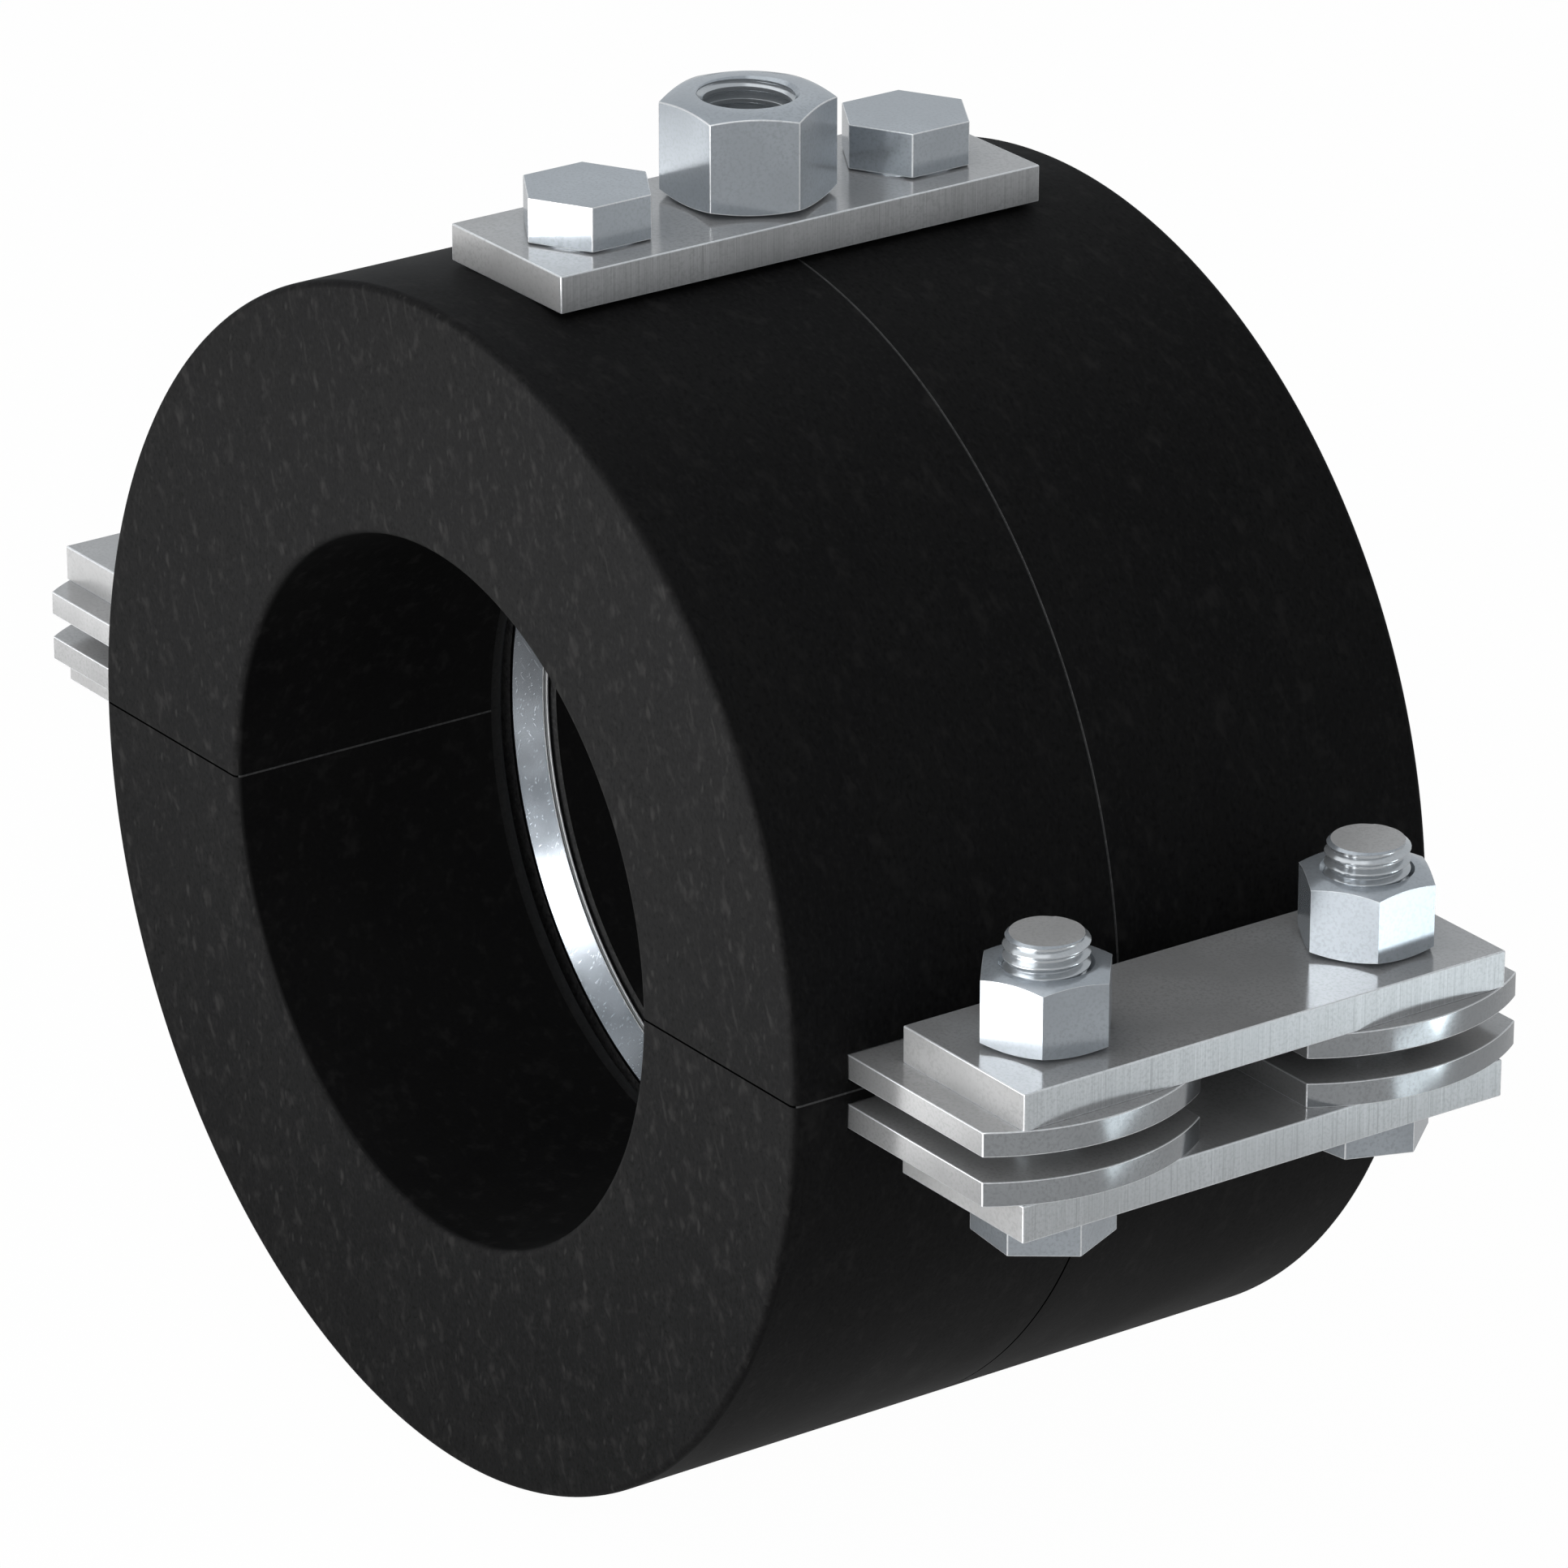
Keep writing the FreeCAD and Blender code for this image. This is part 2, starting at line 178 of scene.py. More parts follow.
def edit(piece: bpy.types.Object) -> None:
    """Open an object in edit mode with all of its mesh selected."""
    activate(piece)
    bpy.ops.object.mode_set(mode="EDIT")
    bpy.ops.mesh.select_mode(type="VERT")
    bpy.ops.mesh.select_all(action="SELECT")


def leave_edit() -> None:
    """Go back to object mode."""
    bpy.ops.object.mode_set(mode="OBJECT")


def wire(name: str, points: list[Point3]) -> bpy.types.Object:
    """Draw a chain of edges, corner by corner, from a plane merged to a point.

    Args:
        name: Name of the new object.
        points: Corners in millimetres.

    Returns:
        The object, open in edit mode with its last corner selected.
    """
    deselect()
    bpy.ops.mesh.primitive_plane_add(size=1.0)
    piece = bpy.context.object
    piece.name = name
    edit(piece)
    bpy.ops.mesh.merge(type="CENTER")
    bpy.ops.transform.translate(value=[v * MM for v in points[0]])
    for last, corner in zip(points, points[1:]):
        step = [(b - a) * MM for a, b in zip(last, corner)]
        bpy.ops.mesh.extrude_vertices_move(TRANSFORM_OT_translate={"value": step})
    return piece


def filled(name: str, points: list[Point3]) -> bpy.types.Object:
    """Draw a closed outline and fill it with one face.

    Args:
        name: Name of the new object.
        points: Corners in millimetres, without the first one repeated.

    Returns:
        The object, open in edit mode with everything selected.
    """
    piece = wire(name, points)
    bpy.ops.mesh.select_all(action="SELECT")
    bpy.ops.mesh.edge_face_add()
    return piece


def prism(name: str, points: list[Point3], way: Point3) -> bpy.types.Object:
    """Fill a closed outline and extrude it.

    Args:
        name: Name of the new object.
        points: Corners of the outline in millimetres.
        way: Extrusion in millimetres.

    Returns:
        The closed solid, in object mode.
    """
    piece = filled(name, points)
    move = [v * MM for v in way]
    bpy.ops.mesh.extrude_region_move(TRANSFORM_OT_translate={"value": move})
    return closed(piece)


def turned(name: str, profile: list[Point2], steps: int, along: str = "Z") -> bpy.types.Object:
    """Spin a closed profile a full turn.

    Args:
        name: Name of the new object.
        profile: (radius, height) corners in millimetres; the height runs along the axis.
        steps: Facets in the turn.
        along: "Z" or "Y", the axis of the turn.

    Returns:
        The closed solid, in object mode.
    """
    upright = along == "Z"
    points = [(r, 0.0, h) if upright else (r, h, 0.0) for r, h in profile]
    piece = wire(name, points + points[:1])
    bpy.ops.mesh.select_all(action="SELECT")
    axis = (0, 0, 1) if upright else (0, 1, 0)
    bpy.ops.mesh.spin(steps=steps, angle=math.tau, center=(0, 0, 0), axis=axis)
    return closed(piece)


def closed(piece: bpy.types.Object) -> bpy.types.Object:
    """Merge doubles and turn every face outwards.

    Args:
        piece: The object to finish.

    Returns:
        The same object, in object mode.
    """
    edit(piece)
    bpy.ops.mesh.remove_doubles(threshold=MERGE_REACH * MM)
    bpy.ops.mesh.normals_make_consistent(inside=False)
    leave_edit()
    return piece


def cut_level(piece: bpy.types.Object, height: float, keep_above: bool) -> None:
    """Cut a solid by a level plane and close the cut.

    Args:
        piece: The solid.
        height: Height of the plane in millimetres.
        keep_above: True to keep what lies above the plane.
    """
    edit(piece)
    bpy.ops.mesh.bisect(
        plane_co=(0, 0, height * MM),
        plane_no=(0, 0, 1),
        use_fill=True,
        clear_inner=keep_above,
        clear_outer=not keep_above,
    )
    leave_edit()


def shape_by(piece: bpy.types.Object, kind: str, **settings: object) -> None:
    """Add a modifier, set it and apply it.

    Args:
        piece: The object that it shapes.
        kind: The modifier's type.
        settings: The modifier's properties by name.
    """
    activate(piece)
    modifier = piece.modifiers.new(kind.lower(), kind)
    for key, value in settings.items():
        setattr(modifier, key, value)
    bpy.ops.object.modifier_apply(modifier=modifier.name)


def boolean(piece: bpy.types.Object, tool: bpy.types.Object, operation: str) -> None:
    """Apply a boolean with a tool solid, and delete the tool.

    Args:
        piece: The solid that changes.
        tool: The solid that shapes it.
        operation: "DIFFERENCE", "INTERSECT" or "UNION".
    """
    shape_by(piece, "BOOLEAN", operation=operation, object=tool, solver="EXACT")
    bpy.data.objects.remove(tool, do_unlink=True)


def ease_edges(piece: bpy.types.Object, width: float, slot: IntEnum, limit: float) -> None:
    """Round the sharp edges of a solid a little.

    Args:
        piece: The solid.
        width: Width of the rounding in millimetres.
        slot: Material slot of the rounding.
        limit: Least angle in degrees at which an edge is rounded.
    """
    shape_by(
        piece,
        "BEVEL",
        width=width * MM,
        segments=2,
        limit_method="ANGLE",
        angle_limit=math.radians(limit),
        use_clamp_overlap=True,
        material=slot.value,
    )


def smooth(piece: bpy.types.Object, angle: float) -> None:
    """Shade a solid smooth up to an angle in degrees, with its large faces left flat."""
    activate(piece)
    bpy.ops.object.shade_smooth_by_angle(angle=math.radians(angle))
    shape_by(piece, "WEIGHTED_NORMAL", keep_sharp=True, weight=80)


def copy_of(piece: bpy.types.Object, name: str) -> bpy.types.Object:
    """Copy an object together with its mesh."""
    twin = piece.copy()
    twin.data = piece.data.copy()
    twin.name = name
    bpy.context.collection.objects.link(twin)
    return twin


def place(piece: bpy.types.Object, at: Point3) -> bpy.types.Object:
    """Move a piece and put its place into its mesh.

    Args:
        piece: The object to place.
        at: Where its origin goes, in millimetres.

    Returns:
        The same object, standing at the origin.
    """
    activate(piece)
    piece.location = [v * MM for v in at]
    bpy.ops.object.transform_apply(location=True, rotation=True, scale=True)
    return piece


def mirror(piece: bpy.types.Object) -> bpy.types.Object:
    """Mirror a piece about the split plane and turn its faces outwards again.

    Args:
        piece: The object to mirror.

    Returns:
        The same object, standing at the origin.
    """
    activate(piece)
    piece.scale = (1, 1, -1)
    bpy.ops.object.transform_apply(location=True, rotation=True, scale=True)
    return closed(piece)


def arc_points(centre: Point2, radius: float, start: float, end: float, steps: int) -> list[Point2]:
    """Points of a circular arc.

    Args:
        centre: Centre of the arc.
        radius: Radius of the arc.
        start: First angle in degrees from the first axis.
        end: Last angle in degrees.
        steps: Chords along the arc.

    Returns:
        The points, the two ends among them.
    """
    angles = [math.radians(start + (end - start) * i / steps) for i in range(steps + 1)]
    return [(centre[0] + radius * math.cos(a), centre[1] + radius * math.sin(a)) for a in angles]


def rounded_outline(corners: list[tuple[float, float, float]], steps: int = 5) -> list[Point2]:
    """Closed outline with round corners.

    Args:
        corners: (a, b, radius) of each corner; radius 0 keeps it sharp.
        steps: Chords in each round corner.

    Returns:
        The outline's points in order.
    """
    outline: list[Point2] = []
    for index, (a, b, radius) in enumerate(corners):
        if radius == 0:
            outline.append((a, b))
            continue
        here = Vector((a, b))
        before = (Vector(corners[index - 1][:2]) - here).normalized()
        after = (Vector(corners[(index + 1) % len(corners)][:2]) - here).normalized()
        half = before.angle(after) / 2
        reach = radius / math.tan(half)
        middle = here + (before + after).normalized() * radius / math.sin(half)
        first = here + before * reach - middle
        last = here + after * reach - middle
        sweep = first.angle_signed(last)
        for step in range(steps + 1):
            turn = Matrix.Rotation(-sweep * step / steps, 2)
            outline.append(tuple(middle + turn @ first))
    return outline


def hexagon(across_flats: float, turn: float) -> list[Point2]:
    """Corners of a hexagon, the first of them turned from +X by the given degrees."""
    radius = across_flats / math.sqrt(3)
    return arc_points((0, 0), radius, turn, turn + 300, 5)


def drill(
    x: float, y: float, diameter: float, low: float, high: float, sides: int = 64
) -> bpy.types.Object:
    """Upright cylinder that cuts a hole.

    Args:
        x: Place across the clamp.
        y: Place along the pipe.
        diameter: Hole diameter.
        low: Height of its bottom.
        high: Height of its top.
        sides: Facets round the hole.

    Returns:
        The tool solid.
    """
    deselect()
    bpy.ops.mesh.primitive_cylinder_add(
        vertices=sides,
        radius=diameter / 2 * MM,
        depth=(high - low) * MM,
        location=(x * MM, y * MM, (low + high) / 2 * MM),
    )
    tool = bpy.context.object
    bpy.ops.object.transform_apply(location=True, rotation=True, scale=True)
    return tool


def helix(
    name: str, root: float, crest: float, pitch: float, low: float, high: float
) -> bpy.types.Object:
    """Solid screw thread with rounded crests.

    Args:
        name: Name of the new object.
        root: Radius at the bottom of the thread.
        crest: Radius at its top.
        pitch: Rise of one turn.
        low: Height of the flat bottom end.
        high: Height of the flat top end.

    Returns:
        The closed solid.
    """
    flank = (crest - root) * math.tan(math.radians(30))
    flat = (pitch - 2 * flank) * 0.62
    soft = 0.12 * (crest - root)
    start = math.floor(low / pitch) * pitch - 2 * pitch
    turns = math.ceil((high - start) / pitch) + 2
    rise = [
        (root, 0.0),
        (root + soft * 0.3, flat * 0.5),
        (root + soft, flat * 0.5 + soft * 0.6),
        (crest - soft, flat * 0.5 + flank - soft * 0.5),
        (crest, flat * 0.5 + flank + soft * 0.5),
    ]
    fall = [(r, pitch - h) for r, h in reversed(rise)]
    profile = [(r, 0.0, start + h) for r, h in rise + fall]
    piece = wire(name, profile)
    shape_by(
        piece,
        "SCREW",
        axis="Z",
        angle=math.tau,
        screw_offset=pitch * MM,
        iterations=turns,
        steps=THREAD_STEPS,
        render_steps=THREAD_STEPS,
        use_merge_vertices=True,
        merge_threshold=THREAD_MERGE_REACH * MM,
    )
    edit(piece)
    bpy.ops.mesh.remove_doubles(threshold=THREAD_MERGE_REACH * MM)
    for is_low in (True, False):
        close_helix_end(piece, is_low)
    leave_edit()
    closed(piece)
    cut_level(piece, low, True)
    cut_level(piece, high, False)
    return closed(piece)


def close_helix_end(piece: bpy.types.Object, is_low: bool) -> None:
    """Close one open end of a thread to its axis.

    Args:
        piece: The thread, open in edit mode.
        is_low: True for the bottom end.
    """
    bpy.ops.mesh.select_all(action="DESELECT")
    bpy.ops.mesh.select_mode(type="EDGE")
    mesh = bmesh.from_edit_mesh(piece.data)
    heights = [v.co.z for v in mesh.verts]
    middle = (min(heights) + max(heights)) / 2
    for edge in mesh.edges:
        below = sum(v.co.z for v in edge.verts) / 2 < middle
        if edge.is_boundary and below == is_low:
            edge.select_set(True)
    bmesh.update_edit_mesh(piece.data)
    bpy.ops.mesh.extrude_edges_move()
    bpy.ops.mesh.merge(type="CENTER")


def dress(piece: bpy.types.Object, materials: list[bpy.types.Material]) -> None:
    """Give a piece its materials, in the order of its faces' indices."""
    piece.data.materials.clear()
    for material in materials:
        piece.data.materials.append(material)


def settle(piece: bpy.types.Object, body: str, node: str, angle: float) -> None:
    """Shade a finished piece and let it stand for its node.

    Args:
        piece: The piece, with its place in its mesh.
        body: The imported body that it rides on.
        node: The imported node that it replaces.
        angle: Least angle in degrees at which an edge stays sharp.
    """
    smooth(piece, angle)
    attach(piece, body)
    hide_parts(node)
    log.info("%s: %d faces", node, len(piece.data.polygons))


class NodeBoard:
    """The node tree of a material or of the world, written one node at a time."""

    def __init__(self, owner: bpy.types.Material | bpy.types.World) -> None:
        """Start from an empty tree."""
        owner.use_nodes = True
        self.tree = owner.node_tree
        self.tree.nodes.clear()

    def node(self, kind: str, **settings: object) -> bpy.types.Node:
        """Add a node and set its properties."""
        new = self.tree.nodes.new(kind)
        for key, value in settings.items():
            setattr(new, key, value)
        return new

    def feed(self, socket: bpy.types.NodeSocket, value: object) -> None:
        """Link a socket to another one, or set its value."""
        if isinstance(value, bpy.types.NodeSocket):
            self.tree.links.new(value, socket)
        else:
            socket.default_value = value

    def maths(self, operation: str, a: object, b: object, c: object = 0.0) -> bpy.types.NodeSocket:
        """One step of arithmetic."""
        new = self.node("ShaderNodeMath", operation=operation)
        for socket, value in zip(new.inputs, (a, b, c)):
            self.feed(socket, value)
        return new.outputs[0]

    def blend(self, factor: object, a: object, b: object) -> bpy.types.NodeSocket:
        """Colour between a and b."""
        new = self.node("ShaderNodeMix", data_type="RGBA")
        self.feed(new.inputs["Factor"], factor)
        for socket, value in ((new.inputs[6], a), (new.inputs[7], b)):
            self.feed(socket, (*value, 1.0) if isinstance(value, tuple) else value)
        return new.outputs[2]

    def ray(self, kind: str) -> bpy.types.NodeSocket:
        """1 for rays of a kind, 0 for the others."""
        return self.node("ShaderNodeLightPath").outputs[f"Is {kind} Ray"]

    def looked_at(self) -> bpy.types.NodeSocket:
        """1 for camera, glossy and transmission rays, 0 for the light that falls on the object."""
        seen = self.maths("MAXIMUM", self.ray("Camera"), self.ray("Glossy"))
        return self.maths("MAXIMUM", seen, self.ray("Transmission"))

    def emit(self, kind: str, colour: object, strength: object) -> bpy.types.NodeSocket:
        """Output of a shader that gives light of its own."""
        new = self.node(kind)
        self.feed(new.inputs["Color"], (*colour, 1.0) if isinstance(colour, tuple) else colour)
        self.feed(new.inputs["Strength"], strength)
        return new.outputs[0]

    def mix(self, output: str, share: object, first: object, second: object) -> None:
        """Mix two shaders into the tree's output.

        Args:
            output: Type of the output node.
            share: Share of the second shader.
            first: Output of the first shader.
            second: Output of the second shader.
        """
        new = self.node("ShaderNodeMixShader")
        for socket, value in zip(new.inputs, (share, first, second)):
            self.feed(socket, value)
        self.feed(self.node(output).inputs["Surface"], new.outputs[0])


class NodeSheet(NodeBoard):
    """A material with a principled shader and patterns on its Object coordinates."""

    def __init__(self, name: str) -> None:
        """Start a material with its shader and its coordinates."""
        self.material = bpy.data.materials.new(name)
        super().__init__(self.material)
        self.shader = self.node("ShaderNodeBsdfPrincipled")
        output = self.node("ShaderNodeOutputMaterial")
        self.feed(output.inputs["Surface"], self.shader.outputs[0])
        self.place = self.node("ShaderNodeTexCoord").outputs["Object"]

    def give(self, name: str, value: object) -> None:
        """Feed an input of the shader."""
        self.feed(self.shader.inputs[name], value)

    def stand(self) -> None:
        """Read patterns as (height, place across, place along the pipe)."""
        parts = self.node("ShaderNodeSeparateXYZ")
        self.feed(parts.inputs[0], self.place)
        turned_place = self.node("ShaderNodeCombineXYZ")
        for socket, axis in zip(turned_place.inputs, ("Z", "X", "Y")):
            self.feed(socket, parts.outputs[axis])
        self.place = turned_place.outputs[0]

    def roll(self) -> None:
        """Read patterns as (way round the pipe, place along it, radius)."""
        parts = self.node("ShaderNodeSeparateXYZ")
        self.feed(parts.inputs[0], self.place)
        across = self.node("ShaderNodeCombineXYZ")
        self.feed(across.inputs["X"], parts.outputs["X"])
        self.feed(across.inputs["Z"], parts.outputs["Z"])
        radius = self.node("ShaderNodeVectorMath", operation="LENGTH")
        self.feed(radius.inputs[0], across.outputs[0])
        angle = self.maths("ARCTAN2", parts.outputs["Z"], parts.outputs["X"])
        rolled = self.node("ShaderNodeCombineXYZ")
        self.feed(rolled.inputs["X"], self.maths("MULTIPLY", angle, ROLL_RADIUS * MM))
        self.feed(rolled.inputs["Y"], parts.outputs["Y"])
        self.feed(rolled.inputs["Z"], radius.outputs["Value"])
        self.place = rolled.outputs[0]

    def waver(self, cells: float, reach: float) -> None:
        """Bend what follows by a noise of so many cells per metre, up to a reach in millimetres."""
        noise = self.node("ShaderNodeTexNoise")
        self.feed(noise.inputs["Vector"], self.place)
        noise.inputs["Scale"].default_value = cells
        shift = self.node("ShaderNodeVectorMath", operation="MULTIPLY_ADD")
        self.feed(shift.inputs[0], noise.outputs["Color"])
        shift.inputs[1].default_value = (reach * MM,) * 3
        self.feed(shift.inputs[2], self.place)
        self.place = shift.outputs["Vector"]

    def mapped(self, scale: Point3, turn: Point3 = (0, 0, 0)) -> bpy.types.NodeSocket:
        """Object coordinates turned by degrees, then scaled to pattern cells per metre."""
        turned_place = self.node("ShaderNodeVectorRotate", rotation_type="EULER_XYZ")
        self.feed(turned_place.inputs["Vector"], self.place)
        turned_place.inputs["Rotation"].default_value = [math.radians(v) for v in turn]
        mapping = self.node("ShaderNodeMapping")
        self.feed(mapping.inputs["Vector"], turned_place.outputs[0])
        mapping.inputs["Scale"].default_value = scale
        return mapping.outputs[0]

    def noise(self, vector: bpy.types.NodeSocket, detail: float, rough: float) -> bpy.types.NodeSocket:
        """Noise value of a mapped place, with so many finer layers of a given force."""
        new = self.node("ShaderNodeTexNoise")
        self.feed(new.inputs["Vector"], vector)
        new.inputs["Scale"].default_value = 1.0
        new.inputs["Detail"].default_value = detail
        new.inputs["Roughness"].default_value = rough
        return new.outputs["Fac"]

    def cells(self, vector: bpy.types.NodeSocket) -> bpy.types.Node:
        """Voronoi node of a mapped place."""
        new = self.node("ShaderNodeTexVoronoi")
        self.feed(new.inputs["Vector"], vector)
        new.inputs["Scale"].default_value = 1.0
        return new

    def window(self, value: bpy.types.NodeSocket, low: float, high: float) -> bpy.types.NodeSocket:
        """Value as it climbs from 0 at low to 1 at high; low may lie above high."""
        new = self.node("ShaderNodeMapRange", interpolation_type="SMOOTHSTEP", clamp=True)
        self.feed(new.inputs["Value"], value)
        falls = low > high
        new.inputs["From Min"].default_value = high if falls else low
        new.inputs["From Max"].default_value = low if falls else high
        new.inputs["To Min"].default_value = 1.0 if falls else 0.0
        new.inputs["To Max"].default_value = 0.0 if falls else 1.0
        return new.outputs[0]

    def bump(self, height: bpy.types.NodeSocket, depth: float, strength: float) -> None:
        """Lay a relief over the shader's normal.

        Args:
            height: Height value from 0 to 1.
            depth: Height of the relief in millimetres.
            strength: Share of the relief that shows.
        """
        new = self.node("ShaderNodeBump")
        new.inputs["Strength"].default_value = strength
        new.inputs["Distance"].default_value = depth * MM
        self.feed(new.inputs["Height"], height)
        last = self.shader.inputs["Normal"]
        if last.is_linked:
            self.feed(new.inputs["Normal"], last.links[0].from_socket)
        self.feed(last, new.outputs[0])


@dataclass(frozen=True)
class FoamFinish:
    """Black closed-cell foam: fine grain, soft pale patches and short scuffs.

    The pattern runs up a cut face, and round the pipe on the skin and in the bore.
    """

    zone: FoamZone
    shade: float
    mark_gain: float
    scuff_force: float = 1.0
    gloss: float = 0.06
    roughness: float = 0.60

    def make(self) -> bpy.types.Material:
        """Build the node material."""
        sheet = NodeSheet(f"foam_{self.zone.value}")
        if self.zone in (FoamZone.SKIN, FoamZone.BORE, FoamZone.ROLL):
            sheet.roll()
        else:
            sheet.stand()
        sheet.waver(300.0, 1.6)
        clouds = sheet.noise(sheet.mapped((38, 50, 50)), 2.0, 0.6)
        grain = sheet.noise(sheet.mapped((1300, 1500, 1500)), 1.0, 0.6)
        tufts = sheet.noise(sheet.mapped((240, 340, 340), (0, 0, 9)), 2.0, 0.62)
        soft = sheet.maths("MULTIPLY", sheet.window(tufts, 0.52, 0.80), 0.80)
        scuffs = sheet.maths("MULTIPLY", self.scuffs(sheet), self.scuff_force)
        marks = sheet.maths("MAXIMUM", soft, scuffs)
        dark = tuple(self.shade * v for v in (0.86, 0.86, 0.88))
        pale = tuple(self.shade * v for v in (1.14, 1.14, 1.14))
        bright = tuple(self.shade * self.mark_gain * v for v in (1.03, 1.0, 0.98))
        ground = sheet.blend(sheet.window(clouds, 0.30, 0.70), dark, pale)
        grained = sheet.blend(sheet.window(grain, 0.52, 0.78), ground, (1.55 * self.shade,) * 3)
        grained = sheet.blend(sheet.window(grain, 0.48, 0.26), grained, (0.55 * self.shade,) * 3)
        sheet.give("Base Color", sheet.blend(marks, grained, bright))
        sheet.give("Roughness", sheet.maths("MULTIPLY_ADD", clouds, 0.16, self.roughness - 0.08))
        sheet.give("Specular IOR Level", self.gloss)
        sheet.bump(grain, 0.03, 0.5)
        return sheet.material

    def scuffs(self, sheet: NodeSheet) -> bpy.types.NodeSocket:
        """Short strokes in three slightly different directions, a few of them long and faint."""
        total: object = 0.0
        for turn, scale, share, force in (
            (9, (230, 560, 500), 0.82, 0.95),
            (-8, (380, 860, 600), 0.76, 0.80),
            (20, (90, 800, 400), 0.88, 0.60),
        ):
            cells = sheet.cells(sheet.mapped(scale, (0, 0, turn)))
            stroke = sheet.window(cells.outputs["Distance"], 0.42, 0.08)
            parts = sheet.node("ShaderNodeSeparateColor")
            sheet.feed(parts.inputs[0], cells.outputs["Color"])
            chosen = sheet.maths("MULTIPLY", sheet.window(parts.outputs[1], share, 1.0), force)
            total = sheet.maths("MAXIMUM", total, sheet.maths("MULTIPLY", stroke, chosen))
        return total


@dataclass(frozen=True)
class ZincFinish:
    """Zinc-plated steel: satin and faintly clouded, with a fine grain; the pale edge copy is partly
    wear on the edges and partly a painted highlight.
    """

    zone: SteelZone
    colour: Colour
    roughness: float
    metallic: float
    grain: float = 0.12

    def shaded(self, share: float) -> Colour:
        """The colour made darker or paler by a share."""
        return tuple(min(1.0, share * v) for v in self.colour)

    def make(self) -> bpy.types.Material:
        """Build the node material."""
        sheet = NodeSheet(f"zinc_{self.zone.value}")
        cloud = sheet.noise(sheet.mapped((70, 70, 70)), 2.0, 0.6)
        grain = sheet.noise(sheet.mapped((1900, 1900, 1900)), 1.0, 0.6)
        base = sheet.blend(sheet.window(cloud, 0.30, 0.70), self.shaded(0.94), self.shaded(1.06))
        base = sheet.blend(sheet.window(grain, 0.42, 0.72), base, self.shaded(1.0 - self.grain))
        sheet.give("Metallic", self.metallic)
        if self.zone is SteelZone.SHEARED:
            lines = sheet.noise(sheet.mapped((3600, 3600, 36)), 3.0, 0.8)
            base = sheet.blend(sheet.window(lines, 0.48, 0.30), base, self.shaded(0.74))
            base = sheet.blend(sheet.window(lines, 0.54, 0.74), base, self.shaded(1.24))
            sheet.bump(lines, 0.02, 0.6)
        sheet.give("Base Color", base)
        sheet.give("Roughness", sheet.maths("MULTIPLY_ADD", cloud, 0.08, self.roughness - 0.04))
        sheet.bump(grain, 0.0012, 0.4)
        return sheet.material


@dataclass(frozen=True)
class RingFinish:
    """Satin steel of the ring in the bore, softly clouded, with fine crossing scratches."""

    colour: Colour = (0.227, 0.246, 0.267)
    roughness: float = 0.24

    def make(self) -> bpy.types.Material:
        """Build the node material."""
        sheet = NodeSheet("ring_steel")
        cloud = sheet.noise(sheet.mapped((90, 90, 90)), 2.0, 0.65)
        brushed = sheet.noise(sheet.mapped((40, 2600, 40)), 2.0, 0.6)
        total: object = 0.0
        for turn in ((20, 0, 35), (-30, 10, -20), (60, 0, 10), (35, 20, -60)):
            cells = sheet.cells(sheet.mapped((1500, 1500, 90), turn))
            stroke = sheet.window(cells.outputs["Distance"], 0.22, 0.05)
            total = sheet.maths("MAXIMUM", total, stroke)
        pale = tuple(min(1.0, 1.12 * v) for v in self.colour)
        dark = tuple(0.90 * v for v in self.colour)
        base = sheet.blend(sheet.window(cloud, 0.35, 0.65), dark, pale)
        scratched = tuple(1.9 * v for v in self.colour)
        base = sheet.blend(sheet.maths("MULTIPLY", total, 0.55), base, scratched)
        sheet.give("Metallic", 1.0)
        sheet.give("Base Color", base)
        sheet.give("Roughness", sheet.maths("MULTIPLY_ADD", cloud, 0.16, self.roughness - 0.08))
        sheet.bump(brushed, 0.0025, 0.5)
        sheet.bump(total, 0.008, 0.6)
        return sheet.material


@dataclass(frozen=True)
class Lamp:
    """A soft rectangular lamp; one that is a glint only shows as a reflection in gloss."""

    name: str
    at: Point3
    towards: Point3
    size: Point2
    radiance: float
    glint: bool = True
    colour: Colour = (1.0, 1.0, 1.0)


